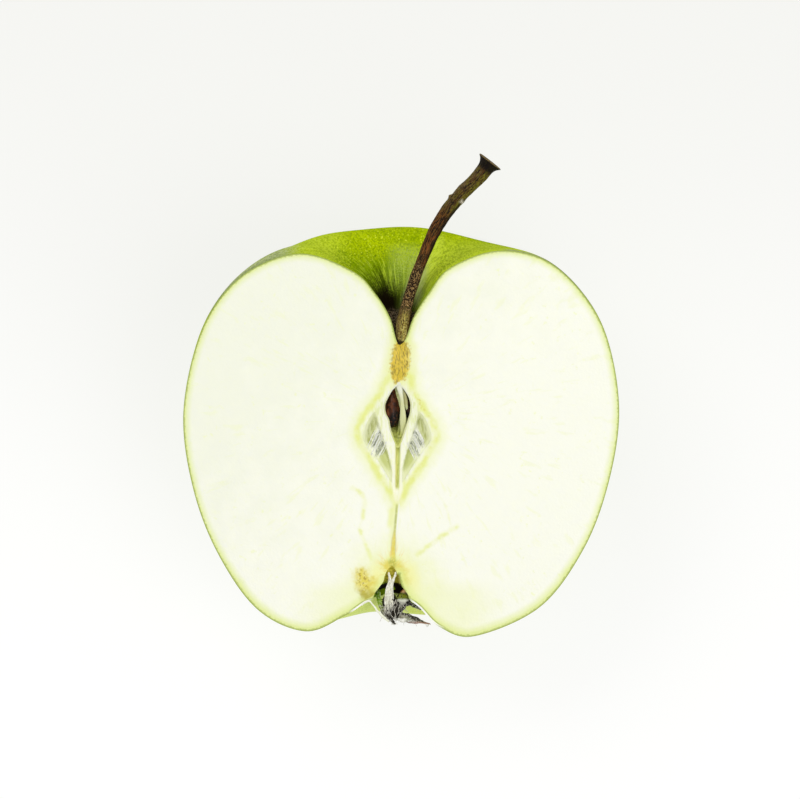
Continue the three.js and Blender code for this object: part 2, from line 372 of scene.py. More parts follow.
def sheet(name: str, across: int, up: int) -> tuple[bpy.types.Object, np.ndarray, np.ndarray]:
    """Adds a flat grid to be shaped, and returns it with each vertex's two shares, from 0 to 1."""
    bpy.ops.object.select_all(action="DESELECT")
    bpy.ops.mesh.primitive_grid_add(x_subdivisions=across, y_subdivisions=up, size=2)
    piece = named(name)
    x, y, _ = points_of(piece).T
    return piece, (x + 1) / 2, (y + 1) / 2


def front_block() -> bpy.types.Object:
    """The block that the knife took away, in front of the cut."""
    bpy.ops.object.select_all(action="DESELECT")
    bpy.ops.mesh.primitive_cube_add(size=2 * ROOM)
    piece = named("front")
    return place(piece, points_of(piece) - (0, ROOM, 0))


def swept(
    name: str,
    route: Route,
    section: Callable[[np.ndarray, np.ndarray], np.ndarray],
    sides: int,
    rings: int,
    cap: float = 0.04,
    bulge: float = 0.3,
) -> bpy.types.Object:
    """Draws a ball out along a route into a closed bar.

    Args:
        name: the piece's name.
        route: points in mm.
        section: gives, for each share of the route and angle round it, two half-widths in mm: one in
            the plane of the cut and one in depth.
        sides: how many sides the bar has.
        rings: how many steps it has.
        cap: how much of the rings each end takes.
        bulge: how far the ends stand out, as a share of the half-width.

    Returns:
        The bar.
    """
    piece, angle, along = ball(name, sides, rings)
    share = np.clip((along - cap) / (1 - 2 * cap), 0, 1)
    rim = np.clip(np.minimum(along, 1 - along) / cap, 0, 1)
    centre = spline(route, share)
    step = 1e-3
    tangent = spline(route, np.clip(share + step, 0, 1)) - spline(route, np.clip(share - step, 0, 1))
    tangent /= np.linalg.norm(tangent, axis=1)[:, None]
    across = np.cross(tangent, (0, 1, 0))
    across /= np.linalg.norm(across, axis=1)[:, None]
    deep = np.cross(across, tangent)
    half = section(share, angle)
    end = np.where(along < 0.5, -1, 1) * np.sqrt(1 - rim ** 2) * bulge * half.min(1)
    point = (
        centre
        + across * (np.cos(angle) * half[:, 0] * rim)[:, None]
        + deep * (np.sin(angle) * half[:, 1] * rim)[:, None]
        + tangent * end[:, None]
    )
    return outward(place(piece, point))


def fibres(name: str, routes: Sequence[Route], thickness: float, sides: int = 1) -> bpy.types.Object:
    """Makes many thin threads as one piece.

    Args:
        name: the piece's name.
        routes: one row of points for each thread, in mm, with the share of the thickness as a fourth
            measure.
        thickness: the threads' half-thickness in mm.
        sides: the curve's bevel resolution.

    Returns:
        The threads, joined.
    """
    curve = bpy.data.curves.new(name, "CURVE")
    curve.dimensions = "3D"
    curve.bevel_depth = thickness
    curve.bevel_resolution = sides
    curve.use_fill_caps = True
    for route in routes:
        thread = curve.splines.new("POLY")
        thread.points.add(len(route) - 1)
        for point, (x, y, z, width) in zip(thread.points, route):
            point.co = (x, y, z, 1)
            point.radius = width
    piece = bpy.data.objects.new(name, curve)
    bpy.context.scene.collection.objects.link(piece)
    pick(piece)
    bpy.ops.object.convert(target="MESH")
    return outward(named(name))


def measure(piece: bpy.types.Object, name: str, values: np.ndarray) -> None:
    """Keeps a number for each vertex, for the finish to read."""
    layer = piece.data.attributes.new(name, "FLOAT", "POINT")
    layer.data.foreach_set("value", np.asarray(values, float))


def finished(
    piece: bpy.types.Object, replaces: Sequence[str] = (), sharp: float = 40.0
) -> bpy.types.Object:
    """Smooths a piece, lays it down into the frame and ties it to the body.

    Args:
        piece: the modelled piece, in the standing fruit's millimetres.
        replaces: the CAD nodes that it stands for.
        sharp: edges sharper than this many degrees stay sharp.

    Returns:
        The same piece.
    """
    pick(piece)
    bpy.ops.object.shade_smooth_by_angle(angle=math.radians(sharp))
    place(piece, FRUIT.laid(points_of(piece)))
    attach(piece, BODY)
    if replaces:
        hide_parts(*replaces)
    triangles = sum(len(face.vertices) - 2 for face in piece.data.polygons)
    LOG.info("%s: %d triangles", piece.name, triangles)
    return piece


# ---- shader maths ----


class Value:
    """A number that a shader works out. Python's operators add its Math nodes."""

    def __init__(self, shader: "Shader", socket: bpy.types.NodeSocket) -> None:
        """Wraps an output socket of the shader."""
        self.shader = shader
        self.socket = socket

    def __add__(self, other: "Number") -> "Value":
        """Self plus other."""
        return self.shader.math("ADD", self, other)

    def __sub__(self, other: "Number") -> "Value":
        """Self minus other."""
        return self.shader.math("SUBTRACT", self, other)

    def __rsub__(self, other: "Number") -> "Value":
        """Other minus self."""
        return self.shader.math("SUBTRACT", other, self)

    def __mul__(self, other: "Number") -> "Value":
        """Self times other."""
        return self.shader.math("MULTIPLY", self, other)

    def __truediv__(self, other: "Number") -> "Value":
        """Self over other."""
        return self.shader.math("DIVIDE", self, other)

    def __pow__(self, other: "Number") -> "Value":
        """Self to the power of other."""
        return self.shader.math("POWER", self, other)

    def __abs__(self) -> "Value":
        """Self without its sign."""
        return self.shader.math("ABSOLUTE", self)

    __radd__ = __add__
    __rmul__ = __mul__

    def fade(self, low: float, high: float) -> "Value":
        """Rises smoothly from 0 at low to 1 at high, or falls where high is under low."""
        ends = (low, high) if low < high else (high, low)
        values = {"Value": self, "From Min": ends[0], "From Max": ends[1]}
        rise = self.shader.node("ShaderNodeMapRange", {"interpolation_type": "SMOOTHSTEP"}, values)
        found = Value(self.shader, rise.outputs["Result"])
        return found if low < high else 1 - found

    def near(self, middle: float, reach: float) -> "Value":
        """1 at middle, falling smoothly to 0 at the reach on both sides."""
        return abs(self - middle).fade(reach, 0)


Number = Value | float
Colour = tuple[float, float, float]
Paint = Colour | bpy.types.NodeSocket


def ink(code: str) -> Colour:
    """A screen colour such as "8FB01C" as light."""
    parts = [int(code[i : i + 2], 16) / 255 for i in (0, 2, 4)]
    return tuple(p / 12.92 if p <= 0.04045 else ((p + 0.055) / 1.055) ** 2.4 for p in parts)


class Shader:
    """One material and the nodes in it."""

    def __init__(self, name: str) -> None:
        """Starts an empty material of that name."""
        self.material = bpy.data.materials.new(name)
        self.material.use_nodes = True
        self.tree = self.material.node_tree
        self.tree.nodes.clear()
        self.place = self.in_fruit()

    def node(self, kind: str, settings: dict | None = None, inputs: dict | None = None) -> bpy.types.Node:
        """Adds a node.

        Args:
            kind: the node's type.
            settings: its own settings, set first.
            inputs: values or links of its sockets, by name or number.

        Returns:
            The node.
        """
        made = self.tree.nodes.new(kind)
        for setting, value in (settings or {}).items():
            setattr(made, setting, value)
        for socket, value in (inputs or {}).items():
            if isinstance(value, Value):
                value = value.socket
            if isinstance(value, bpy.types.NodeSocket):
                self.tree.links.new(value, made.inputs[socket])
            elif isinstance(value, tuple) and made.inputs[socket].type == "RGBA":
                made.inputs[socket].default_value = (*value, 1)
            else:
                made.inputs[socket].default_value = value
        return made

    def in_fruit(self) -> bpy.types.NodeSocket:
        """The place in the standing fruit's millimetres."""
        own = self.node("ShaderNodeTexCoord")
        turn = {
            "Vector": own.outputs["Object"],
            "Location": tuple(measure * MM for measure in FRUIT.origin),
            "Rotation": (FRUIT.tilt - math.pi / 2, 0, 0),
            "Scale": (MM, MM, MM),
        }
        return self.node("ShaderNodeMapping", {"vector_type": "TEXTURE"}, turn).outputs["Vector"]

    def axes(self, vector: bpy.types.NodeSocket | None = None) -> tuple[Value, Value, Value]:
        """The three measures of a vector, or of the place."""
        parts = self.node("ShaderNodeSeparateXYZ", {}, {"Vector": vector or self.place})
        return tuple(Value(self, output) for output in parts.outputs)

    def vector(self, x: Number, y: Number, z: Number) -> bpy.types.NodeSocket:
        """A vector of three numbers."""
        return self.node("ShaderNodeCombineXYZ", {}, {"X": x, "Y": y, "Z": z}).outputs["Vector"]

    def stretched(self, *size: float) -> bpy.types.NodeSocket:
        """The place, squeezed so that a pattern of size 1 gets this size along each axis."""
        squeeze = {"Vector": self.place, "Scale": tuple(1 / s for s in size)}
        return self.node("ShaderNodeMapping", {}, squeeze).outputs["Vector"]

    def math(self, operation: str, *values: Number) -> Value:
        """Adds one Math node."""
        made = self.node("ShaderNodeMath", {"operation": operation}, dict(enumerate(values)))
        return Value(self, made.outputs[0])

    def attribute(self, name: str) -> Value:
        """A number kept on the piece's vertices."""
        read = self.node("ShaderNodeAttribute", {"attribute_name": name})
        return Value(self, read.outputs["Fac"])

    def cloud(
        self, size: float = 1.0, detail: float = 2.0, vector: bpy.types.NodeSocket | None = None
    ) -> Value:
        """Soft noise of that size in mm, from about 0.3 to 0.7."""
        inputs = {"Vector": vector or self.place, "Scale": 1 / size, "Detail": detail}
        return Value(self, self.node("ShaderNodeTexNoise", {}, inputs).outputs["Fac"])

    def cells(self, size: float, vector: bpy.types.NodeSocket | None = None) -> Value:
        """The distance from the nearest of many scattered points, in cells of that size."""
        inputs = {"Vector": vector or self.place, "Scale": 1 / size}
        return Value(self, self.node("ShaderNodeTexVoronoi", {}, inputs).outputs["Distance"])

    def mix(self, factor: Number, start: Paint, end: Paint) -> bpy.types.NodeSocket:
        """The colour start at factor 0, and end at 1."""
        inputs = {0: factor, 6: start, 7: end}
        return self.node("ShaderNodeMix", {"data_type": "RGBA"}, inputs).outputs[2]

    def ramp(self, factor: Value, stops: Sequence[tuple[float, Colour]]) -> bpy.types.NodeSocket:
        """A colour for each value of factor, from 0 to 1."""
        made = self.node("ShaderNodeValToRGB", {}, {"Fac": factor})
        elements = made.color_ramp.elements
        while len(elements) < len(stops):
            elements.new(1)
        for element, (position, colour) in zip(elements, stops):
            element.position = position
            element.color = (*colour, 1)
        return made.outputs["Color"]

    def bump(self, height: Value, depth: float) -> bpy.types.NodeSocket:
        """A bumped normal, where height 1 stands out by depth in mm."""
        inputs = {"Height": height, "Distance": depth * MM, "Strength": 1.0}
        return self.node("ShaderNodeBump", {}, inputs).outputs["Normal"]

    def surface(self, inputs: dict) -> bpy.types.Material:
        """Ends the material with a shader of these inputs."""
        look = self.node("ShaderNodeBsdfPrincipled", {}, inputs)
        self.node("ShaderNodeOutputMaterial", {}, {"Surface": look.outputs["BSDF"]})
        return self.material


# ---- finishes ----


@dataclass(frozen=True)
class SkinFinish:
    """Thin green skin, yellower and grained on the shoulder, streaked down the stalk cavity and darkened
    there by painted shade.
    """

    sunny: Colour = ink("BACF06")
    green: Colour = ink("98B202")
    shade: Colour = ink("6C8802")
    # Dark green for the stipple's gaps, and painted shade in the stalk cavity.
    deep: Colour = ink("394607")
    # Near-black painted shade, for the stalk cavity's depths and the calyx cavity's roof.
    hollow: Colour = ink("120D04")
    bark: Colour = ink("75654E")
    dot: Colour = ink("D8E63A")
    haze: Colour = ink("AAB07A")
    mist: Colour = ink("B4C85A")
    painted_light: Colour = ink("C9DC42")
    grazing_sheen: Colour = ink("AFB88A")
    grazing_sheen_dark: Colour = ink("76835A")
    downy: Colour = ink("E2F08E")
    # Painted light on the right of the calyx basin.
    glow: Colour = ink("E6F484")
    scuff: Colour = ink("EEF0D8")
    amber: Colour = ink("A09A30")
    honey: Colour = ink("F0E47E")

    def material(self) -> bpy.types.Material:
        """Builds the material."""
        s = Shader("skin")
        x, y, z = s.axes()
        radius = s.math("SQRT", x * x + y * y)
        spoke = s.vector(x / (radius + 0.01) * 11, y / (radius + 0.01) * 11, radius * 0.12)
        level = s.stretched(1, 2.2, 1)
        streak = s.cloud(0.5, 4, spoke)
        fine = s.cloud(0.2, 3, spoke)
        speck = s.cloud(0.36, 3, level)
        grit = s.cloud(0.2, 2, level)
        patch = s.cloud(13, 3)
        crown = z.fade(-8, 16)

        # A yellow-green ground, stippled on the crown and faintly streaked all over.
        colour = s.mix(patch.fade(0.38, 0.62), self.green, self.sunny)
        colour = s.mix(z.fade(22, 31) * 0.4, colour, self.sunny)
        # Painted shade on a band of the crown left of the stalk.
        left_shade_band = x.fade(-2, -8) * x.fade(-16, -11) * z.fade(31, 28) * y.fade(24, 16)
        colour = s.mix(left_shade_band * crown * 0.3, colour, self.shade)
        colour = s.mix(streak.fade(0.5, 0.62) * 0.18, colour, self.shade)
        flecked = fine.fade(0.53, 0.6) * (1 - crown) * 0.25
        colour = s.mix(flecked, colour, self.dot)
        below = z.fade(30.5, 26.5)
        colour = s.mix(speck.fade(0.48, 0.6) * crown * (0.5 + below * 0.4), colour, self.shade)
        colour = s.mix(grit.fade(0.5, 0.6) * crown * (0.18 + below * 0.3), colour, self.deep)
        dotted = s.cells(0.5, level).fade(0.4, 0.1)
        colour = s.mix(dotted * crown * (0.3 + streak.fade(0.52, 0.42) * 0.6), colour, self.dot)

        # Right of the stalk, painted light where the light falls in: a lit band and a brighter right of the
        # crown. The cut's own edge is darker.
        inner_side = radius.fade(21, 17)
        slant = abs(x - 4.3 - (z - 22) * 0.34)
        lit = slant.fade(2.0, 0.5) * z.fade(19.5, 22) * z.fade(31.5, 29) * inner_side
        colour = s.mix(lit * (0.3 + fine.fade(0.42, 0.58) * 0.6), colour, self.painted_light)
        right_crown = x.fade(4, 9) * crown * y.fade(17, 10)
        colour = s.mix(right_crown * (0.3 + speck.fade(0.56, 0.42) * 0.3), colour, self.painted_light)
        lip = y.fade(3.0, 0.8) * x.fade(4.5, 6.5) * x.fade(14, 11) * z.fade(20, 23)
        colour = s.mix(lip * (0.35 + speck.fade(0.42, 0.58) * 0.4), colour, self.shade)

        # Painted shade darkens the stalk cavity, more on the left and behind the stalk than on the right.
        left_wall_shade = x.fade(-1, -2.6) * z.fade(28, 25.5)
        level_of = z + x.fade(-1, 4) * 3.4 - left_wall_shade * 1.3 - (y - 1) * 0.16
        shade_depth = level_of + (streak - 0.5) * 6 + (speck - 0.5) * 5
        within = radius.fade(15, 11) * z.fade(8, 12)
        colour = s.mix(shade_depth.fade(27.8, 23.8) * within * 0.85, colour, self.shade)
        colour = s.mix(shade_depth.fade(24.8, 21.4) * within * 0.94, colour, self.deep)
        # Painted glints on the cavity's streaks.
        shine = fine.fade(0.5, 0.62) * streak.fade(0.4, 0.56) * shade_depth.fade(20.5, 24) * z.fade(29.5, 26)
        colour = s.mix(shine * within * 0.55, colour, self.painted_light)
        # Near-black painted shade in its depths, mixed at the very bottom with bark-brown russet.
        pitch = (level_of + (fine - 0.5) * 3 + (grit - 0.5) * 3).fade(22.2, 20.2) * x.fade(0.9, -1.2)
        colour = s.mix(pitch * within, colour, self.hollow)
        lowest = (z + (fine - 0.5) * 2.5).fade(19.6, 18.4) * radius.fade(7, 5) * z.fade(8, 12)
        colour = s.mix(lowest * 0.9, colour, s.mix(grit.fade(0.44, 0.56), self.hollow, self.bark))
        beside = abs(x - 1.5 - (z - 18.5) * 0.3).fade(2.3, 0.9) * z.fade(19, 21.5) * z.fade(28.5, 25)
        colour = s.mix(beside * within * (0.28 + fine.fade(0.4, 0.58) * 0.45), colour, self.haze)
        bloom = abs(x - 1.4).fade(4.5, 1.0) * z.fade(21, 26) * z.fade(31, 28)
        colour = s.mix(bloom * within * (0.2 + grit.fade(0.46, 0.58) * 0.45), colour, self.mist)

        # Painted light brightens the upper left rim, and the shoulders beside the crown are duller, with a
        # grey-green painted sheen where the skin turns away. The calyx basin is paler, downy on the left and
        # painted lit on the right.
        left_rim_light = x.fade(-8, -14) * z.fade(23, 26)
        colour = s.mix(left_rim_light * (0.25 + speck.fade(0.55, 0.42) * 0.3), colour, self.painted_light)
        behind = y + (patch - 0.5) * 12 + (speck - 0.5) * 8
        left_edge = (x + (speck - 0.5) * 5).fade(-17, -22.5) * behind.fade(15, 4)
        right_edge = x.fade(18, 21) * (y + (patch - 0.5) * 8).fade(7, 2)
        shoulder = s.math("MAXIMUM", left_edge, right_edge) * (z + (speck - 0.5) * 8).fade(15, 24)
        grey = s.mix(speck.fade(0.46, 0.58) * 0.7, self.grazing_sheen, self.grazing_sheen_dark)
        grey = s.mix(y.fade(3.2, 0.8) * 0.5, grey, self.grazing_sheen_dark)
        colour = s.mix(shoulder * 0.85, colour, grey)
        # Painted shade on the left of the calyx basin.
        basin = radius.fade(9, 4) * z.fade(-26, -32)
        colour = s.mix(basin * x.fade(1.5, -0.5) * 0.3, colour, self.shade)
        bowl = (radius + (patch - 0.5) * 9 + (speck - 0.5) * 5).fade(27, 13) * z.fade(-31, -35)
        downy_and_lit = s.mix(x.fade(-1.5, 2.5), self.downy, self.glow)
        colour = s.mix(bowl * (0.62 + grit.fade(0.58, 0.45) * 0.3), colour, downy_and_lit)

        # The cavity's roof, above the dried leaves, is golden and then black with painted shadow.
        throat = radius.fade(4.8, 4.0) * z.fade(-35.6, -34.8) * z.fade(-20, -25) * x.fade(-2.4, -1.6)
        roof_and_shadow = s.mix((x + (speck - 0.5) * 0.8).fade(-0.3, 0.2), self.amber, self.honey)
        roof_and_shadow = s.mix((z + x * 0.3 + (grit - 0.5)).fade(-31.9, -32.5), roof_and_shadow, self.hollow)
        colour = s.mix(throat, colour, roof_and_shadow)

        # Pale dots, and one scuff on the crown's edge.
        dots = s.cells(2.9).fade(0.12, 0.07) * s.cloud(5).fade(0.4, 0.6)
        colour = s.mix(dots * (1 - crown) * 0.7, colour, self.dot)
        slope = (z - 29.0 - (x - 15.1) * 0.3) / 0.3
        across = ((x - 15.1) / 0.7) ** 2 + slope ** 2 + (y - 5) ** 2 * 0.12
        colour = s.mix(across.fade(1.1, 0.4) * fine.fade(0.35, 0.5) * 0.8, colour, self.scuff)

        height = fine * 0.4 + speck * 0.8 + dotted * 0.5
        return s.surface({
            "Base Color": colour,
            "Roughness": 0.36 + patch * 0.14,
            "Specular IOR Level": 0.0,
            "Coat Weight": 0.01 + z.fade(16, -4) * radius.fade(10, 18) * 0.5,
            "Coat Roughness": 0.18,
            "Subsurface Weight": 0.05,
            "Subsurface Radius": (1.0, 1.2, 0.1),
            "Subsurface Scale": 0.8 * MM,
            "Normal": s.bump(height, 0.06),
        })


@dataclass(frozen=True)
class FleshFinish:
    """Moist, pale cut flesh, with the skin's green line and halo round it and the core's lines in it."""

    pale: Colour = ink("F9FAEA")
    cool_and_shaded: Colour = ink("F2F4E2")
    tinge: Colour = ink("EFF4BE")
    halo: Colour = ink("E0EA92")
    line: Colour = ink("8FA03A")
    lemon: Colour = ink("F4F29A")
    core: Colour = ink("E6EC8A")
    white: Colour = ink("FAFAF4")
    cream: Colour = ink("F8F7DA")
    straw: Colour = ink("DCD868")
    ochre: Colour = ink("EACD4A")
    gold: Colour = ink("D6B922")
    fleck: Colour = ink("8C7208")
    saffron: Colour = ink("ECC82E")
    tissue: Colour = ink("E3E9B0")
    groove: Colour = ink("E2E08A")
    green: Colour = ink("CCD47E")
    stain: Colour = ink("E2D45A")
    rust: Colour = ink("B4AA3A")
    brown: Colour = ink("96762A")
    top: Colour = ink("A2AA38")

    def material(self) -> bpy.types.Material:
        """Builds the material."""
        s = Shader("flesh")
        x, y, z = s.axes()
        edge = s.attribute("edge")
        heart = s.attribute("heart")
        soft = s.cloud(5, 3)
        fine = s.cloud(0.7, 3)
        wobble = (s.cloud(1.8, 3) - 0.5) * 1.4
        slow = (s.cloud(3.4, 2) - 0.5) * 3

        # Random tone, and painted shade that greys the flesh towards the upper left.
        tone_and_shade = soft * 0.5 + (x - z) * 0.006 + 0.28
        colour = s.mix(tone_and_shade.fade(0.3, 0.66), self.cool_and_shaded, self.pale)
        radius = s.math("SQRT", x * x + z * z)
        spoke = s.vector(x / (radius + 0.01) * 11, radius * 0.11, z / (radius + 0.01) * 11)
        streak = s.cloud(0.5, 4, spoke).fade(0.57, 0.7)
        colour = s.mix(streak * 0.3, colour, self.tinge)
        marks = s.cloud(1.1, 4).fade(0.6, 0.7) * s.cloud(7, 2).fade(0.45, 0.6)
        colour = s.mix(marks * 0.6, colour, self.tinge)

        # The core: whiter inside its outline, which is a wavering yellow-green line.
        waver = heart + wobble * 0.75 + slow * 0.14
        grained = s.cloud(0.42, 3, s.stretched(1, 1, 4))
        colour = s.mix(waver.fade(0.2, -2.2) * abs(x + 0.35).fade(4.4, 2.6) * 0.3, colour, self.white)
        colour = s.mix(waver.fade(0.2, -1.0) * (0.25 + grained.fade(0.46, 0.62) * 0.5), colour, self.tinge)
        beside = abs(x + 0.35).near(3.4, 1.7) * z.fade(5.5, 2) * z.fade(-8, -4.5)
        colour = s.mix(beside * (0.3 + grained.fade(0.46, 0.6) * 0.65), colour, self.tissue)
        colour = s.mix(waver.fade(-0.2, 0.4) * waver.fade(2.8, 0.5) * 0.6, colour, self.tinge)
        width = 0.6 + s.cloud(3.1, 2) * 0.9
        outline = (abs(waver) / width).fade(1, 0.1) * (0.5 + s.cloud(2.7, 3).fade(0.36, 0.56) * 0.5)
        colour = s.mix(outline * 0.9, colour, self.core)
        inner = (abs(waver + 0.1) / 0.4).fade(1, 0.2) * s.cloud(1.1, 3).fade(0.46, 0.6)
        colour = s.mix(inner * (0.12 + x.fade(2.5, 3.6) * z.fade(-1, 1) * 0.6), colour, self.straw)
        veins = (s.attribute("vein") + wobble * 0.5).near(0, 0.85)
        colour = s.mix(veins * (0.25 + s.cloud(2.2).fade(0.44, 0.6) * 0.55), colour, self.core)

        # The knife followed a channel from the seed chamber down to the calyx.
        middle = s.attribute("channel")
        side_white = abs(middle).fade(1.2, 0.5) * z.fade(-18, -14) * z.fade(0, -4)
        colour = s.mix(side_white * (0.45 + grained.fade(0.58, 0.42) * 0.35), colour, self.cream)
        hem = (abs(middle) + wobble * 0.2).near(1.25, 0.45) * z.fade(-17, -14) * z.fade(-8, -11)
        colour = s.mix(hem * 0.5, colour, self.core)
        broad = 0.52 + z.fade(-14, -6) * 0.14
        upper = (abs(middle) / broad).fade(1, 0.35) * z.fade(-14.4, -13.4) * z.fade(-5, -5.8)
        strand = s.mix((middle + wobble * 0.1).fade(-0.12, 0.18), self.green, self.groove)
        strand = s.mix(s.cloud(0.3, 3, s.stretched(1, 1, 5)).fade(0.46, 0.56) * 0.4, strand, self.top)
        strand = s.mix(z.fade(-8, -5.8) * 0.6, strand, self.top)
        colour = s.mix(upper, colour, strand)
        fork = abs(abs(middle) - (z + 17.2) * 0.17)
        arms = fork.fade(0.3, 0.1) * z.fade(-17.4, -16.6) * z.fade(-12.6, -13.6)
        colour = s.mix(arms * 0.65, colour, self.cream)

        # Below it a band is greener, with an olive line that turns ochre and then brown.
        band = (middle + wobble * 0.4 - 0.25).near(0, 1.15) * z.fade(-29, -26.5) * z.fade(-15.6, -17)
        colour = s.mix(band * 0.55, colour, self.core)
        smear = (middle + wobble * 0.5 - 1.0).near(0, 0.9) * z.fade(-21.8, -20.4) * z.fade(-16.8, -18)
        colour = s.mix(smear * 0.6, colour, self.core)
        ridge = (middle + 0.42).near(0, 0.2) * z.fade(-24.5, -22.5) * z.fade(-16, -17.2)
        colour = s.mix(ridge * 0.8, colour, self.white)

        # Round the calyx the flesh is yellower, and browned in places.
        low = s.math("SQRT", (x + 1) ** 2 + (z + 32) ** 2)
        colour = s.mix((low + wobble * 2 + slow).fade(12, 3.5) * 0.8, colour, self.tinge)
        colour = s.mix((low + wobble + slow * 0.6).fade(6.4, 3.0) * 0.7, colour, self.lemon)
        basin = s.math("SQRT", (x * 0.8) ** 2 + (z + 37) ** 2) + wobble * 1.5 + slow
        colour = s.mix(basin.fade(17, 9) * z.fade(-30, -34) * 0.55, colour, self.tinge)
        spread = 0.32 + z.fade(-21.5, -24) * 0.3
        lower = (abs(middle + wobble * 0.06) / spread).fade(1, 0.25)
        lower = lower * z.fade(-28.4, -27.4) * z.fade(-16.4, -17.4)
        tail = s.mix(z.fade(-20.5, -23.5), self.top, self.stain)
        tail = s.mix((abs(middle) / spread).fade(0.3, 0.7) * z.fade(-21, -24) * 0.6, tail, self.brown)
        colour = s.mix(lower * (0.5 + z.fade(-21, -24) * 0.3 + fine.fade(0.35, 0.55) * 0.15), colour, tail)
        crest = s.math("SQRT", (x + 1.2) ** 2 + ((z + 28.2) * 0.75) ** 2) + wobble * 0.6
        colour = s.mix(crest.fade(2.2, 0.5) * 0.8, colour, self.core)
        colour = s.mix(crest.fade(1.3, 0.3) * fine.fade(0.35, 0.5) * 0.85, colour, self.top)
        ray = s.vector((x + 1.2) / (crest + 0.4) * 3, (z + 29.5) / (crest + 0.4) * 3, crest * 0.15)
        radial = s.cloud(0.5, 3, ray)
        colour = s.mix(crest.fade(3.6, 1.2) * radial.fade(0.5, 0.6) * 0.55, colour, self.ochre)
        blot = s.attribute("stain") + wobble * 1.1 + slow * 0.2 + (fine - 0.5) * 1.6
        mottle = s.cloud(0.9, 4)
        blotch = s.mix(z.fade(-32, -34.2), self.stain, self.rust)
        colour = s.mix(blot.fade(1.3, -0.4) * (0.65 + mottle.fade(0.36, 0.56) * 0.35), colour, blotch)
        specks = s.cloud(0.5, 4).fade(0.5, 0.6) * (x + wobble).fade(-5.0, -6.4)
        bottom = z.fade(-32.6, -34.6) * mottle.fade(0.42, 0.56)
        colour = s.mix(blot.fade(0.5, -0.6) * (specks * 0.6 + bottom * 0.55), colour, self.brown)

        # The skin's edge and the speckled green just inside it, which is broader on the lower lobes.
        lobes = z.fade(-20, -36)
        rim = edge + wobble * 0.25 + slow * 0.08
        colour = s.mix((rim - lobes * 0.5).fade(1.7, 0.3) * 0.6, colour, self.halo)
        colour = s.mix((rim - lobes * 0.3).fade(0.75, 0.2) * 0.7, colour, self.halo)
        seeped = blot.fade(0.9, -0.5) * z.fade(-32.6, -33.8) * edge.fade(0.3, 0.7)
        colour = s.mix(seeped * (0.6 + mottle.fade(0.36, 0.56) * 0.35), colour, blotch)
        peel = edge + (s.cloud(0.5, 3) - 0.5) * 0.7
        colour = s.mix((peel - lobes * 0.08).fade(0.42, 0.12) * 0.6, colour, self.line)
        colour = s.mix(edge.fade(0.24, 0.06) * 0.8, colour, self.line)

        # By the calyx a white highlight is painted along the cut's outer rim, so that the skin's line lies
        # inside a pale rim.
        turned = z.fade(-34.4, -35.4) * z.fade(-40.6, -39) * x.fade(11, 8.5) * x.fade(-9.5, -8)
        colour = s.mix(turned * edge.fade(0.36, 0.26), colour, self.white)
        colour = s.mix(turned * edge.near(0.46, 0.16) * 0.8, colour, self.line)

        # Under the stalk, the ends of its fibres.
        fibre = s.attribute("fibre")
        colour = s.mix((fibre + wobble).fade(2.5, 0) * 0.6, colour, self.core)
        weave = s.cloud(0.36, 3, s.vector(x * 1.5 + z * 0.25, y, z * 0.5))
        threads = s.mix(weave.fade(0.46, 0.66) * 0.85, self.gold, self.fleck)
        threads = s.mix(weave.fade(0.44, 0.36) * 0.7, threads, self.saffron)
        threads = s.mix(x.fade(0.9, 1.9) * weave.fade(0.6, 0.45) * 0.35, threads, self.lemon)
        ragged = fibre + wobble * 0.6 + (fine - 0.5) * 1.8
        colour = s.mix(ragged.fade(0.45, -0.3) * 0.92, colour, threads)

        height = fine * 0.6 + s.cells(0.45) * 0.5
        return s.surface({
            "Base Color": colour,
            "Roughness": 0.34 + soft * 0.2,
            "Specular IOR Level": 0.35,
            "Subsurface Weight": 0.2,
            "Subsurface Radius": (1.0, 1.0, 0.6),
            "Subsurface Scale": 0.7 * MM,
            "Normal": s.bump(height, 0.035),
        })


@dataclass(frozen=True)
class TubeFinish:
    """Inside of the calyx tube: golden olive at the top, then a black arch of painted shadow, and green
    walls under it that go into painted shadow lower down.
    """

    gold: Colour = ink("E4D65A")
    olive: Colour = ink("B2AE34")
    green: Colour = ink("86A806")
    brown: Colour = ink("5E4A16")
    tube_shadow: Colour = ink("0E0A05")

    def material(self) -> bpy.types.Material:
        """Builds the material."""
        s = Shader("calyx tube")
        x, y, z = s.axes()
        patch = s.cloud(0.7, 3)
        fine = s.cloud(0.25, 3)
        colour = s.mix(patch.fade(0.42, 0.58), self.olive, self.gold)
        colour = s.mix(fine.fade(0.54, 0.62) * 0.6, colour, self.brown)
        colour = s.mix(z.fade(-31.0, -32.6), colour, self.green)
        # Painted shadow: a black arch, then black patches, and near black low in the tube.
        drop = z + abs(x + 1.3) * 0.25 + (patch - 0.5) * 0.9 + (fine - 0.5) * 0.8
        arch_shadow = drop.fade(-31.5, -32.0) * (drop + x.fade(-1, 0.5) * 2).fade(-33.4, -32.7)
        colour = s.mix(arch_shadow, colour, self.tube_shadow)
        colour = s.mix(patch.fade(0.46, 0.62) * z.fade(-33, -35) * 0.7, colour, self.tube_shadow)
        colour = s.mix(z.fade(-34.6, -36) * 0.85, colour, self.tube_shadow)
        return s.surface({
            "Base Color": colour,
            "Roughness": 0.6 + fine * 0.3,
            "Specular IOR Level": 0.05,
            "Normal": s.bump(fine, 0.08),
        })


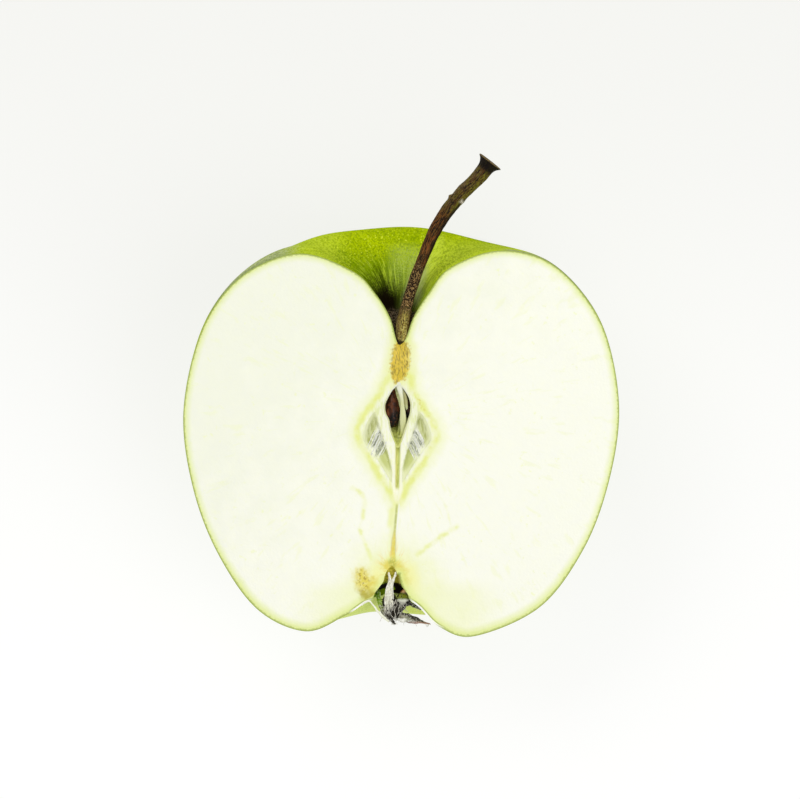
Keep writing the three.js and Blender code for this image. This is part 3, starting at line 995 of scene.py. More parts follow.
@dataclass(frozen=True)
class ParchmentFinish:
    """Thin shiny wall of a seed chamber, pale at its rim, olive in its depth and darkened further in by
    painted shade.
    """

    rim: Colour = ink("EDF0DA")
    pale: Colour = ink("D4D79A")
    olive: Colour = ink("A6AE46")
    mottle: Colour = ink("77842A")
    dark: Colour = ink("56541E")
    khaki: Colour = ink("B8B472")
    tip: Colour = ink("C8CE68")
    deep: tuple[float, float] = (0.5, 2.6)

    def material(self, name: str) -> bpy.types.Material:
        """Builds the material under that name."""
        s = Shader(name)
        x, y, z = s.axes()
        streak = s.cloud(0.5, 3, s.stretched(1, 1, 5))
        depth = y + (streak - 0.5) * 0.8
        start, end = self.deep
        colour = s.mix(depth.fade(start, end), self.pale, self.olive)
        # Deeper in, painted shade darkens the wall.
        colour = s.mix(depth.fade(end * 0.8, end * 2), colour, self.dark)
        patch = s.cloud(0.5, 3).fade(0.5, 0.6) * y.fade(0.5, 1)
        colour = s.mix(patch * 0.5, colour, self.mottle)
        colour = s.mix(x.fade(0.6, 1.0) * z.fade(1.2, 2.0) * y.fade(0.45, 0.6) * 0.95, colour, self.khaki)
        colour = s.mix(y.fade(0.6, 0.25) * (0.1 + z.fade(2.0, 5.0) * 0.75), colour, self.rim)
        lowest = z.fade(-2.6, -3.8) * x.fade(0.7, 0.2)
        colour = s.mix(lowest * 0.9, colour, s.mix(patch * 0.5, self.tip, self.mottle))
        return s.surface({
            "Base Color": colour,
            "Roughness": 0.22 + streak * 0.2,
            "Subsurface Weight": 0.15,
            "Subsurface Radius": (1.0, 1.0, 0.4),
            "Subsurface Scale": 0.8 * MM,
            "Normal": s.bump(streak + s.cloud(0.25, 2) * 0.5, 0.05),
        })


@dataclass(frozen=True)
class WindowFinish:
    """Pale green wall of a grazed chamber, with an olive band, silver hollows and white lines between."""

    pale: Colour = ink("E9EDBC")
    olive: Colour = ink("A5AC54")
    green: Colour = ink("C4CC7C")
    tissue: Colour = ink("F1F3DC")
    grey: Colour = ink("8F957E")
    white: Colour = ink("FBFBF4")
    axis: float = -0.35

    def material(self, name: str) -> bpy.types.Material:
        """Builds the material under that name."""
        s = Shader(name)
        x, y, z = s.axes()
        streak = s.cloud(0.4, 3, s.stretched(1, 1, 5))
        jag = (s.cloud(0.7, 3) - 0.5) * 1.2
        out = abs(x - self.axis)
        colour = s.mix(streak.fade(0.42, 0.6) * 0.5, self.pale, self.tissue)

        # The upper part: white tissue beside the seed chamber, then an olive band, then pale green.
        beyond = out - 3.97 + z * 0.26 + jag * 0.4
        colour = s.mix(beyond.fade(-0.6, -1.1) * z.fade(-5, -3.5), colour, self.tissue)
        band = beyond.fade(-1.3, -0.3) * beyond.fade(1.7, 0.0) * z.fade(1.6, -0.6) * z.fade(-7, -4.6)
        colour = s.mix(band * (0.45 + streak.fade(0.4, 0.6) * 0.45), colour, self.olive)
        wedge = (out + z * 0.12 + jag * 0.3).fade(3.4, 1.6) * z.fade(-5.2, -7.0)
        colour = s.mix(wedge * (0.95 - z.fade(-8.8, -11.8) * 0.65), colour, self.green)

        # Torn fibres lie slanting across it, with two silvery hollows between them.
        cosine, sine = SLANT
        across = out * cosine + z * sine + jag * 0.45
        along = out * sine - z * cosine + jag * 0.8
        first = across.near(1.4, 0.62) * along.fade(3.8, 4.5) * along.fade(8.0, 7.2)
        second = across.near(0.14, 0.62) * along.fade(5.3, 6.0) * along.fade(9.2, 8.3)
        rough = s.cloud(0.32, 2, s.vector(across * 1.7, y, along * 0.22)).fade(0.4, 0.56)
        spread = across.near(0.8, 2.0) * along.fade(3.4, 4.4) * along.fade(9.6, 8.4)
        colour = s.mix(spread.fade(0.1, 0.6) * (0.2 + streak.fade(0.55, 0.42) * 0.45), colour, self.white)
        colour = s.mix((first + second).fade(0.15, 0.6) * (0.15 + rough * 0.8), colour, self.grey)
        colour = s.mix(y.fade(0.16, 0.02) * 0.4, colour, self.pale)
        return s.surface({
            "Base Color": colour,
            "Roughness": 0.25 + streak * 0.2,
            "Normal": s.bump(streak, 0.06),
        })


@dataclass(frozen=True)
class SeedFinish:
    """Satin brown seed coat, reddish above and nearly black at its lower end, with a painted tan highlight
    on its left.
    """

    red: Colour = ink("5A3018")
    tan: Colour = ink("9A5E3C")
    brown: Colour = ink("30170C")
    black: Colour = ink("100A06")

    def material(self) -> bpy.types.Material:
        """Builds the material."""
        s = Shader("seed coat")
        x, y, z = s.axes()
        streak = s.cloud(0.5, 3, s.stretched(1, 1, 4))
        bare = s.cloud(1.5, 3)
        colour = s.mix((streak * 0.5 + bare * 0.5).fade(0.42, 0.58), self.brown, self.red)
        # A painted highlight, tan, on the seed's left side.
        painted_highlight = x.fade(-1.6, -2.2) * z.fade(-0.6, 0.4) * z.fade(2.2, 1.2)
        colour = s.mix(painted_highlight * bare.fade(0.4, 0.55), colour, self.tan)
        dark = (z - x.fade(-1.6, -1.0) * 0.8 + (s.cloud(0.9, 3) - 0.5) * 2.2).fade(0.3, -0.8)
        colour = s.mix(dark, colour, self.black)
        colour = s.mix(dark * x.fade(0.4, 0) * s.cloud(0.45, 4).fade(0.54, 0.6) * 0.7, colour, self.red)
        colour = s.mix(s.cloud(0.5, 3).fade(0.55, 0.63) * 0.6, colour, self.black)
        return s.surface({
            "Base Color": colour,
            "Roughness": 0.3 + streak * 0.16,
            "Specular IOR Level": 0.14,
            "Coat Weight": 0.1,
            "Coat Roughness": 0.15,
            "Normal": s.bump(streak + s.cloud(0.2, 2) * 0.4, 0.04),
        })


@dataclass(frozen=True)
class StalkFinish:
    """Dry bark: a tan-olive foot, flecked above it, red-brown in the middle and dark at the broken end."""

    brown: Colour = ink("5A3C14")
    red: Colour = ink("7E481C")
    dark: Colour = ink("0D0705")
    tan: Colour = ink("BE9C62")
    olive: Colour = ink("AC9C40")
    straw: Colour = ink("D6C876")
    moss: Colour = ink("76701C")
    grey: Colour = ink("786640")
    scar: Colour = ink("D8D0BC")

    def material(self) -> bpy.types.Material:
        """Builds the material."""
        s = Shader("bark")
        share, turn = s.attribute("share"), s.attribute("turn")
        left, back = s.math("COSINE", turn), s.math("SINE", turn)
        along = s.vector(left * 2.2, back * 2.2, share * 9)
        around = s.vector(left * 2.6, back * 2.6, share * 60)
        streak = s.cloud(0.45, 4, along)
        fine = s.cloud(0.16, 3, along)
        fleck = s.cloud(0.34, 4, around)
        speckled = share.fade(0.1, 0.17) * share.fade(0.38, 0.3)
        middle = share.near(0.48, 0.22)
        upper = share.fade(0.58, 0.7)

        colour = s.mix(streak.fade(0.42, 0.58), self.brown, s.mix(middle, self.brown, self.red))
        colour = s.mix(s.cloud(0.3, 4, along).fade(0.46, 0.53) * 0.92, colour, self.dark)
        colour = s.mix(speckled * fleck.fade(0.55, 0.46) * 0.95, colour, self.dark)
        colour = s.mix(fleck.fade(0.55, 0.585) * (0.1 + speckled * 0.75), colour, self.tan)
        colour = s.mix(upper * 0.35, colour, self.dark)
        colour = s.mix(upper * fine.fade(0.56, 0.62) * 0.7, colour, self.grey)
        colour = s.mix(upper * left.fade(0.45, 0.9) * fine.fade(0.46, 0.56) * 0.8, colour, self.grey)
        colour = s.mix(upper * left.fade(0.1, -0.45) * fine.fade(0.46, 0.54) * 0.9, colour, self.moss)
        colour = s.mix(upper * streak.fade(0.55, 0.62) * 0.5, colour, self.moss)
        shadow = share.fade(0.3, 0.45) * share.fade(0.75, 0.65) * left.fade(-0.35, -0.7)
        colour = s.mix(shadow * 0.8, colour, self.dark)
        bare = share.near(0.722, 0.02) * left.fade(-0.2, -0.5)
        colour = s.mix(bare * fine.fade(0.4, 0.52) * 0.8, colour, self.scar)

        # The foot is paler tissue, grey along its left and brown along its right, with a dark collar.
        foot = (share + (fleck - 0.5) * 0.12).fade(0.17, 0.11)
        tissue = s.mix(fine.fade(0.42, 0.56), self.olive, self.straw)
        tissue = s.mix(left.fade(0.1, 0.6) * fine.fade(0.36, 0.5) * 0.8, tissue, self.grey)
        tissue = s.mix(fleck.fade(0.49, 0.55) * 0.9, tissue, self.brown)
        tissue = s.mix((streak * 0.5 + fine * 0.5).fade(0.52, 0.58) * 0.8, tissue, self.dark)
        tissue = s.mix(left.fade(-0.55, -0.9) * 0.7, tissue, self.brown)
        colour = s.mix(foot * 0.95, colour, tissue)
        colour = s.mix((share + (fine - 0.5) * 0.03).fade(0.03, 0.012) * 0.9, colour, self.dark)

        # The broken end is nearly black, partly dark bark and partly painted shade under its flare, with a
        # grey rim.
        colour = s.mix((share + (fine - 0.5) * 0.05).fade(0.915, 0.945) * 0.94, colour, self.dark)
        rim = share.fade(0.986, 0.993) * fine.fade(0.34, 0.48)
        colour = s.mix(rim * 0.9, colour, self.grey)
        height = streak * 0.5 + fine * 0.6 + fleck * 0.6
        return s.surface({
            "Base Color": colour,
            "Roughness": 0.6 + fine * 0.3,
            "Specular IOR Level": 0.12,
            "Normal": s.bump(height, 0.22),
        })


@dataclass(frozen=True)
class DryFinish:
    """Dried flower remains: a ground colour with downy and dark patches."""

    ground: Colour
    down: Colour
    dark: Colour
    down_share: float = 0.5
    dark_share: float = 0.5
    size: float = 0.9

    def material(self, name: str) -> bpy.types.Material:
        """Builds the material under that name."""
        s = Shader(name)
        patch = s.cloud(self.size, 4)
        fine = s.cloud(self.size / 4, 3)
        colour = s.mix(patch.fade(0.42, 0.6) * self.dark_share, self.ground, self.dark)
        colour = s.mix((fine * 0.5 + patch * 0.5).fade(0.5, 0.6) * self.down_share, colour, self.down)
        return s.surface({
            "Base Color": colour,
            "Roughness": 0.6 + fine * 0.3,
            "Specular IOR Level": 0.3,
            "Normal": s.bump(fine, 0.08),
        })


@dataclass(frozen=True)
class LeafFinish:
    """A dried leaf's colours from its base to its tip, with streaks of down and of dark along it."""

    stops: tuple[tuple[float, str], ...]  # a share of its length, and the code of the colour there
    downy: float = 0.5
    shaded: float = 0.5
    down: Colour = ink("D8D5BC")
    dark: Colour = ink("120E08")
    ragged: float = 0.3  # how far chance moves its colours along it

    def material(self, name: str) -> bpy.types.Material:
        """Builds the material under that name."""
        s = Shader(name)
        share, side = s.attribute("share"), s.attribute("side")
        streak = s.cloud(1, 4, s.vector(side * 2.6, share * 3.4, 0.0))
        patch = s.cloud(0.7, 4)
        fine = s.cloud(0.22, 3)
        stops = [(position, ink(code)) for position, code in self.stops]
        colour = s.ramp(share + (patch - 0.5) * self.ragged, stops)
        colour = s.mix((streak * 0.6 + fine * 0.4).fade(0.5, 0.6) * self.shaded, colour, self.dark)
        colour = s.mix((streak * 0.5 + fine * 0.5).fade(0.49, 0.4) * self.downy, colour, self.down)
        return s.surface({
            "Base Color": colour,
            "Roughness": 0.55 + fine * 0.3,
            "Specular IOR Level": 0.2,
            "Normal": s.bump(streak + fine, 0.08),
        })


# ---- the flesh with its skin ----


@dataclass
class Core:
    """Lines of the core in the plane of the cut, as rows of x and z in mm."""

    axis: float = -0.35
    heart: Route = (
        (-0.3, 7.6), (-2.4, 6.7), (-3.8, 3.4), (-5.85, 0.8), (-7.0, -1.2), (-7.6, -3.4), (-7.0, -5.6),
        (-5.5, -7.9), (-3.4, -11.8), (-2.0, -13.7), (-0.3, -16.5), (1.6, -13.3), (3.5, -10.3), (4.7, -8.5),
        (6.5, -5.3), (7.0, -3.4), (6.0, -0.8), (4.4, 1.5), (3.4, 3.2), (2.3, 5.5), (2.1, 7.2), (-0.3, 7.6),
    )
    window: Route = (
        (-4.3, 0.9), (-5.5, -0.6), (-6.3, -2.4), (-6.7, -4.2), (-6.1, -5.6), (-4.9, -7.2), (-3.5, -9.2),
        (-2.2, -11.4), (-1.35, -12.7), (-1.25, -11.0), (-1.75, -8.2), (-2.4, -5.8), (-3.0, -3.9),
        (-3.5, -2.4), (-4.0, -0.8), (-4.3, 0.9),
    )
    window_outer: int = 9  # the window's knots up to this one are its outer side
    window_depth: float = 0.7
    channel: Route = (
        (-0.2, -5.4), (-0.3, -12.0), (-0.4, -16.9), (-0.95, -23.5), (-1.1, -27.3), (-1.3, -28.6),
    )
    fibre: Route = (
        (0.4, 13.8), (-0.7, 13.2), (-1.2, 11.3), (-1.5, 9.2), (-1.4, 7.5), (-0.6, 6.1), (0.6, 6.6),
        (1.6, 8.2), (2.0, 10.2), (1.9, 12.2), (1.4, 13.4), (0.4, 13.8),
    )
    veins: tuple[Route, ...] = (
        ((-8.5, -13.7), (-6.4, -15.6), (-6.7, -19.4)),
        ((-7.2, -21.6), (-6.2, -24.0), (-5.0, -27.3)),
        ((3.4, -26.3), (6.6, -23.8), (10.7, -20.9)),
        ((5.5, -12.5), (8.5, -17.0), (9.6, -21.5)),
        ((-9.5, 3.5), (-12.5, -3.0), (-12.8, -10.0), (-10.0, -17.0)),
        ((8.6, 4.6), (12.0, -2.5), (12.6, -9.5), (10.2, -16.0)),
    )
    vein_faintness: tuple[float, ...] = (0.1, 0.1, 0.0, 0.45, 0.62, 0.62)  # in mm off the middle line
    stains: tuple[Route, ...] = (
        ((-6.9, -30.2), (-6.3, -31.8), (-5.8, -33.2), (-5.4, -34.2), (-5.0, -35.0)),
        ((-4.9, -31.4), (-4.9, -32.8), (-5.0, -34.6)),
        ((-2.4, -28.4), (-1.9, -29.0)),
        ((0.1, -28.7), (0.45, -30.2), (0.8, -31.4)),
    )
    stain_widths: tuple[float, ...] = (1.0, 0.5, 0.3, 0.5)

    def loop(self, knots: Route, steps: int = 8) -> np.ndarray:
        """A smooth line through knots of x and z."""
        return spline(knots, np.linspace(0, 1, (len(knots) - 1) * steps + 1))

    def mirrored(self, side: Side, flat: np.ndarray) -> np.ndarray:
        """Rows of x and z, as they lie on the left."""
        if side is Side.LEFT:
            return flat
        return np.column_stack([2 * self.axis - flat[:, 0], flat[:, 1]])

    def window_hollow(self, side: Side, flat: np.ndarray) -> np.ndarray:
        """How deep a grazed chamber lies under the cut.

        Args:
            side: the chamber's side.
            flat: places, as rows of x and z.

        Returns:
            The depth of each place in mm.
        """
        places = self.mirrored(side, flat)
        steps = 8
        line = self.loop(self.window, steps)
        turn = self.window_outer * steps
        inside = distance_to(line, places)
        outer = np.abs(distance_to(line[: turn + 1], places))
        inner = np.abs(distance_to(line[turn:], places))
        depth = self.window_depth * fade(outer, 0, 1.7) * fade(inner, 0, 0.5)
        return np.where(inside < 0, depth, 0) * fade(flat[:, 1], -13, -9.5) ** 0.5

    def fine_relief(self, flat: np.ndarray) -> np.ndarray:
        """The cut's own unevenness and grooves, in mm behind its plane, without the windows."""
        solid = np.column_stack([flat[:, 0], np.zeros(len(flat)), flat[:, 1]])
        x, z = flat.T
        middle = distance_to(self.loop(self.channel), flat)
        groove = np.exp(-((middle / 0.26) ** 2))
        upper = 0.4 * groove * fade(z, -15, -13) * fade(z, -5.0, -6.0)
        lower = 0.16 * groove * fade(z, -28.5, -27) * fade(z, -15.5, -17.5)
        ridge = 0.06 * np.exp(-(((np.abs(middle) - 0.75) / 0.3) ** 2)) * fade(z, -19, -15) * fade(z, -4, -7)
        fibre = fade(distance_to(self.loop(self.fibre), flat), 0.4, -0.5)
        threads = fibre * (0.1 + 0.14 * grain(solid, (0.45, 1, 1.3)))
        swell = 0.025 * grain(solid, 5.0)
        return upper + lower - ridge + threads + swell

    def relief(self, flat: np.ndarray) -> np.ndarray:
        """How far the cut lies behind its plane at each place, in mm."""
        windows = sum(self.window_hollow(side, flat) for side in Side)
        return self.fine_relief(flat) + windows


@dataclass
class SeedChamber:
    """The opened seed chamber: a spindle, its parchment lining and the strip left across its mouth.

    A knot is a height and the mouth's reach to the left and to the right of the axis, in mm.
    """

    mouth: Route = (
        (-5.75, -0.34, -0.08), (-4.6, -0.78, 0.42), (-3.4, -1.22, 0.8), (-2.4, -1.55, 1.12),
        (-0.9, -1.8, 1.6), (0.4, -2.4, 1.98), (1.9, -2.52, 2.08), (3.2, -2.0, 1.8), (4.5, -1.3, 1.1),
        (5.3, -0.6, 0.5), (5.75, -0.12, 0.06),
    )
    fullness: float = 0.87  # the mouth's share of the chamber's width behind it
    half_depth: float = 3.3
    centre_depth: float = 1.6
    lining: float = 0.26
    overlap: float = 0.02  # how far the lining runs into the flesh and out of the cut
    strip_route: Route = (
        (-0.05, 0.25, 5.7), (0.2, 0.25, 4.6), (0.48, 0.3, 3.2), (0.62, 0.35, 1.8), (0.7, 0.42, 0.4),
        (0.74, 0.55, -1.2), (0.66, 0.75, -2.8), (0.3, 0.9, -4.4),
    )
    strip_widths: tuple[float, ...] = (0.6, 0.46, 0.34, 0.36, 0.5, 0.6, 0.42, 0.24)

    def shell(self, name: str, grow: float, sides: int = 48, rings: int = 80) -> bpy.types.Object:
        """The chamber's space.

        Args:
            name: the piece's name.
            grow: how much larger it is all round, in mm.
            sides: how many sides it has.
            rings: how many steps it has.

        Returns:
            The space, as a closed piece.
        """
        piece, angle, along = ball(name, sides, rings)
        place_on = spline(self.mouth, np.linspace(0, 1, 400))
        pole = 0.5 - np.cos(np.pi * along) / 2
        lowest, highest = self.mouth[0][0] - grow * 1.6, self.mouth[-1][0] + grow * 1.6
        height = lowest + (highest - lowest) * pole
        left = np.interp(height, place_on[:, 0], place_on[:, 1])
        right = np.interp(height, place_on[:, 0], place_on[:, 2])
        width = (right - left) / 2
        full = width / 2.3
        tapered = np.sqrt(np.clip(np.sin(np.pi * along) * 3, 0, 1))
        half = (width / self.fullness + grow) * tapered
        deep = (self.half_depth * full + grow) * tapered
        x = (left + right) / 2 + half * np.cos(angle)
        y = self.centre_depth * full + deep * np.sin(angle)
        return place(piece, np.column_stack([x, y, height]))

    def bar(
        self, name: str, route: Route, width: Callable[[np.ndarray], np.ndarray], thin: float, rings: int
    ) -> bpy.types.Object:
        """One flat bar of wall.

        Args:
            name: the piece's name.
            route: points in mm.
            width: gives the half-width in mm for each share of the route.
            thin: half of its thickness in mm.
            rings: how many steps it has.

        Returns:
            The bar.
        """
        def section(share: np.ndarray, angle: np.ndarray) -> np.ndarray:
            """Its two half-widths, the same all round."""
            return np.column_stack([width(share), np.full(len(share), thin)])

        return swept(name, route, section, 20, rings)

    def strip(self) -> bpy.types.Object:
        """The pale strip of wall across the mouth, with the walls behind and beside it."""
        behind = [(x - 0.5, y + 0.8, z * 0.94) for x, y, z in self.strip_route]
        beside = [(x + 0.28 + (5.7 - z) * 0.1, y + 0.55, z * 0.96) for x, y, z in self.strip_route[:5]]
        bars = (
            ("strip", self.strip_route, lambda share: profile(self.strip_widths, share), 0.14, 60),
            ("wall behind", behind, lambda share: 0.4 - 0.1 * share, 0.1, 60),
            ("wall beside", beside, lambda share: 0.05 + 0.4 * np.sin(np.pi * share), 0.08, 30),
        )
        return join([self.bar(*bar) for bar in bars], "strip")

    def build(self) -> bpy.types.Object:
        """Makes the lining with its strip."""
        outer = self.shell("lining", self.lining)
        cup = cut_out(outer, self.shell("space", 0.0))
        front = front_block()
        place(front, points_of(front) - (0, self.overlap, 0))
        cut_out(cup, front)
        piece = join([cup, self.strip()], "chamber_parchment")
        piece.data.materials.clear()
        piece.data.materials.append(ParchmentFinish().material("chamber parchment"))
        return finished(piece, ["seed_chamber"])


@dataclass
class CalyxTube:
    """The opened tube above the calyx, from its height and its reach to the left and the right."""

    walls: Route = (
        (-38.5, -3.0, 2.6), (-37.0, -3.5, 3.1), (-36.0, -4.0, 2.9), (-35.0, -4.6, 1.95), (-33.8, -4.55, 1.6),
        (-32.4, -3.6, 0.6), (-31.4, -2.9, -0.1), (-30.2, -2.6, -0.25), (-29.2, -2.1, -0.6),
        (-28.4, -1.4, -1.15),
    )
    half_depth: float = 3.4

    def space(self) -> bpy.types.Object:
        """The tube's space, which is cut out of the flesh."""
        piece, angle, along = ball("tube", 40, 60)
        walls = spline(self.walls, np.linspace(0, 1, 300))
        height = walls[0, 0] + (walls[-1, 0] - walls[0, 0]) * (0.5 - np.cos(np.pi * along) / 2)
        left = np.interp(height, walls[:, 0], walls[:, 1])
        right = np.interp(height, walls[:, 0], walls[:, 2])
        closed = np.clip(np.sin(np.pi * along) * 4, 0, 1) ** 0.5
        half = (right - left) / 2 * closed
        x = (left + right) / 2 + half * np.cos(angle)
        y = np.minimum(half * 1.2, self.half_depth) * np.sin(angle)
        return place(piece, np.column_stack([x, y, height]))


@dataclass
class Flesh:
    """The half itself: the round fruit under its skin, cut by the knife and opened at the core."""

    core: Core
    chamber: SeedChamber
    tube: CalyxTube
    sides: int = 256
    rings: int = 216
    columns: tuple[float, ...] = (0.24, 8.4, 0.8)  # fine step, how far out it holds, and widest step
    rows: tuple[float, ...] = (0.27, -42.5, 14.5, 0.55)  # fine step, where it starts and ends, wide step
    breadth: float = 45.0  # the knife block's reach to each side
    heights: tuple[float, float] = (-47.0, 36.0)  # its lowest and highest edge
    widening: float = 0.045  # how much a step grows with each mm beyond the fine stretch

    def fruit(self) -> bpy.types.Object:
        """The whole round fruit."""
        piece, azimuth, along = ball("flesh_and_skin", self.sides, self.rings)
        points = FRUIT.surface(azimuth, along)
        radius = np.hypot(points[:, 0], points[:, 1])
        pucker = 0.1 * fade(radius, 16, 7) * fade(radius, 0.5, 3) * fade(points[:, 2], 8, 14)
        ripple = np.sin(azimuth * 31 + 2.1 * np.sin(azimuth * 5)) * 0.6 + np.sin(azimuth * 53 + 1.7) * 0.4
        away = np.abs(np.sin(azimuth))
        points[:, 2] += pucker * ripple * fade(away, 0, 0.2)
        return place(piece, points)

    def lines(
        self, wide: float, low: float, high: float, fine: float, start: float, end: float
    ) -> np.ndarray:
        """Grid lines, close together in one stretch and wider apart beyond it.

        Args:
            wide: the widest step.
            low: the first line.
            high: where the lines end.
            fine: the step between start and end.
            start: where the fine stretch starts.
            end: where it ends.

        Returns:
            The places of the lines, in mm.
        """
        stops = [low]
        while stops[-1] < high:
            out = max(start - stops[-1], stops[-1] - end, 0)
            stops.append(stops[-1] + min(wide, fine + out * self.widening))
        return np.array(stops)

    def knife_block(self) -> bpy.types.Object:
        """What the knife took away, whose back carries the relief of the cut."""
        fine, reach, wide = self.columns
        x_lines = self.lines(wide, -self.breadth, self.breadth, fine, -reach, reach)
        step, start, end, coarse = self.rows
        z_lines = self.lines(coarse, *self.heights, step, start, end)
        piece, across, up = sheet("knife block", len(x_lines) - 1, len(z_lines) - 1)
        x = x_lines[np.rint(across * (len(x_lines) - 1)).astype(int)]
        z = z_lines[np.rint(up * (len(z_lines) - 1)).astype(int)]
        flat = np.column_stack([x, z])
        place(piece, np.column_stack([x, self.core.relief(flat), z]))
        with editing(piece):
            bpy.ops.mesh.extrude_region_move(TRANSFORM_OT_translate={"value": (0, -ROOM, 0)})
        return outward(piece)

    def build(self) -> bpy.types.Object:
        """Makes the half and dresses it."""
        skin, flesh = SkinFinish().material(), FleshFinish().material()
        piece = self.fruit()
        piece.data.materials.append(skin)
        socket = self.chamber.shell("socket", self.chamber.lining - self.chamber.overlap)
        cutters = (
            (self.knife_block(), flesh),
            (socket, flesh),
            (self.tube.space(), TubeFinish().material()),
        )
        for cutter, look in cutters:
            cutter.data.materials.append(look)
            cut_out(piece, cutter)
        self.rest_flat(piece)
        self.measure(piece)
        return finished(piece, ["apple_half"])

    def rest_flat(self, piece: bpy.types.Object) -> None:
        """Flattens the small spot that it rests on."""
        down = Vector((0, math.cos(FRUIT.tilt), -math.sin(FRUIT.tilt)))
        reach = FRUIT.origin[2]
        with editing(piece):
            bpy.ops.mesh.bisect(plane_co=down * reach, plane_no=down, use_fill=True, clear_outer=True)

    def measure(self, piece: bpy.types.Object) -> None:
        """Keeps the distances that the flesh's finish reads."""
        points = points_of(piece)
        flat = points[:, [0, 2]]
        core = self.core
        measure(piece, "edge", np.abs(distance_to(FRUIT.cut_edge(), flat)))
        measure(piece, "heart", distance_to(core.loop(core.heart), flat))
        measure(piece, "fibre", distance_to(core.loop(core.fibre), flat))
        measure(piece, "channel", distance_to(core.loop(core.channel), flat))
        veins = [
            np.abs(distance_to(core.loop(vein), flat)) + faint
            for vein, faint in zip(core.veins, core.vein_faintness)
        ]
        measure(piece, "vein", np.minimum.reduce(veins))
        stains = [
            np.abs(distance_to(core.loop(stain), flat)) - width
            for stain, width in zip(core.stains, core.stain_widths)
        ]
        measure(piece, "stain", np.minimum.reduce(stains))


# ---- the core's pieces ----


@dataclass
class CarpelWall:
    """The grazed wall of a neighbouring chamber, sunk in its window, with torn fibres across it."""

    side: Side
    core: Core
    steps: tuple[int, int] = (70, 150)
    stand: float = 0.05
    strands: tuple[tuple[float, float, float], ...] = ((2.02, 4.1, 8.0), (0.76, 4.3, 8.7), (-0.46, 5.5, 9.2))
    threads: int = 4  # in each strand
    seed: int = 5

    def flat(self, points: np.ndarray) -> np.ndarray:
        """Rows of x and z of the left side, put on this side."""
        return self.core.mirrored(self.side, points)

    def membrane(self) -> bpy.types.Object:
        """The wall itself."""
        piece, across, up = sheet("membrane", *self.steps)
        line = self.core.loop(self.core.window)
        (left, low), (right, high) = line.min(0), line.max(0)
        flat = self.flat(np.column_stack([left + (right - left) * across, low + (high - low) * up]))
        hollow = self.core.window_hollow(self.side, flat)
        solid = np.column_stack([flat[:, 0], np.zeros(len(flat)), flat[:, 1]])
        wrinkle = 0.05 * grain(solid, (0.5, 1, 2.2)) * fade(hollow, 0, 0.3)
        base = self.core.fine_relief(flat)
        place(piece, np.column_stack([flat[:, 0], base + hollow - self.stand - np.abs(wrinkle), flat[:, 1]]))
        with editing(piece) as mesh:
            outside = distance_to(line, self.core.mirrored(self.side, flat)) > 0
            for vertex, out in zip(mesh.verts, outside):
                vertex.select_set(bool(out))
            bmesh.update_edit_mesh(piece.data)
            bpy.ops.mesh.select_mode(type="VERT")
            bpy.ops.mesh.delete(type="VERT")
        return modify(piece, "SOLIDIFY", thickness=0.05, offset=0.0)

    def torn_fibres(self) -> bpy.types.Object:
        """The pale threads that the knife left across the window."""
        draw = random.Random(self.seed + self.side.value)
        cosine, sine = SLANT
        routes = []
        for middle, start, end in self.strands * self.threads:
            shares = np.linspace(0, 1, 9)
            first, last = start + draw.uniform(-0.5, 1.3), end + draw.uniform(-1.6, 0.3)
            along = first + (last - first) * shares
            bow = draw.uniform(-0.1, 0.1) * np.sin(np.pi * shares)
            across = middle + draw.uniform(-0.4, 0.4) + bow
            out = across * cosine + along * sine
            flat = self.flat(np.column_stack([self.core.axis - out, across * sine - along * cosine]))
            depth = self.core.window_hollow(self.side, flat) * (1 - 0.5 * np.sin(np.pi * shares)) - 0.05
            width = 0.5 + 0.5 * np.sin(np.pi * shares) * draw.uniform(0.6, 1.2)
            routes.append([(x, y, z, w) for (x, z), y, w in zip(flat, depth, width)])
        return fibres("torn fibres", routes, 0.085)

    def build(self) -> bpy.types.Object:
        """Makes the wall with its fibres and dresses it."""
        side = self.side.name.lower()
        silk = DryFinish(ink("F2F3EA"), ink("FFFFFF"), ink("A8AD9C"), 0.6, 0.5, 0.5)
        wall, threads = self.membrane(), self.torn_fibres()
        wall.data.materials.append(WindowFinish().material(f"window {side}"))
        threads.data.materials.append(silk.material(f"silky fibre {side}"))
        piece = join([wall, threads], f"carpel_wall_{side}")
        return finished(piece, [f"carpel_{side}"])


@dataclass
class Seed:
    """One seed: a flattened drop with its point up."""

    name: str
    node: str
    middle: tuple[float, float, float]
    half: tuple[float, float, float]
    lean: float  # degrees, towards the axis at the top
    notch: float = 0.0
    notch_noise: float = 7.0  # how far off its noise is taken, in mm

    def build(self) -> bpy.types.Object:
        """Makes the seed and dresses it."""
        piece, angle, along = ball(self.name, 40, 60)
        height = -np.cos(np.pi * along)
        drop = np.sin(np.pi * along) * (1 - 0.32 * height - 0.1 * height ** 3) * 1.05
        keel = 1 + 0.06 * np.cos(2 * angle) ** 2
        x = drop * np.cos(angle) * keel * self.half[0]
        y = drop * np.sin(angle) * keel * self.half[1]
        points = np.column_stack([x, y, height * self.half[2]])
        points += 0.05 * grain(points + self.middle, 1.1)[:, None] * np.column_stack([x, y, 0 * x])
        if self.notch:
            ragged = grain(points + self.notch_noise, 0.5)
            points[:, 0] *= 1 - self.notch * fade(height, -0.3, -0.8) * (0.6 + 0.6 * ragged)
        turn = math.radians(self.lean)
        sine, cosine = math.sin(turn), math.cos(turn)
        x, y, z = points.T
        points = np.column_stack([x * cosine + z * sine, y, z * cosine - x * sine])
        place(piece, points + self.middle)
        piece.data.materials.append(SeedFinish().material())
        return finished(piece, [self.node])


# ---- the stalk ----


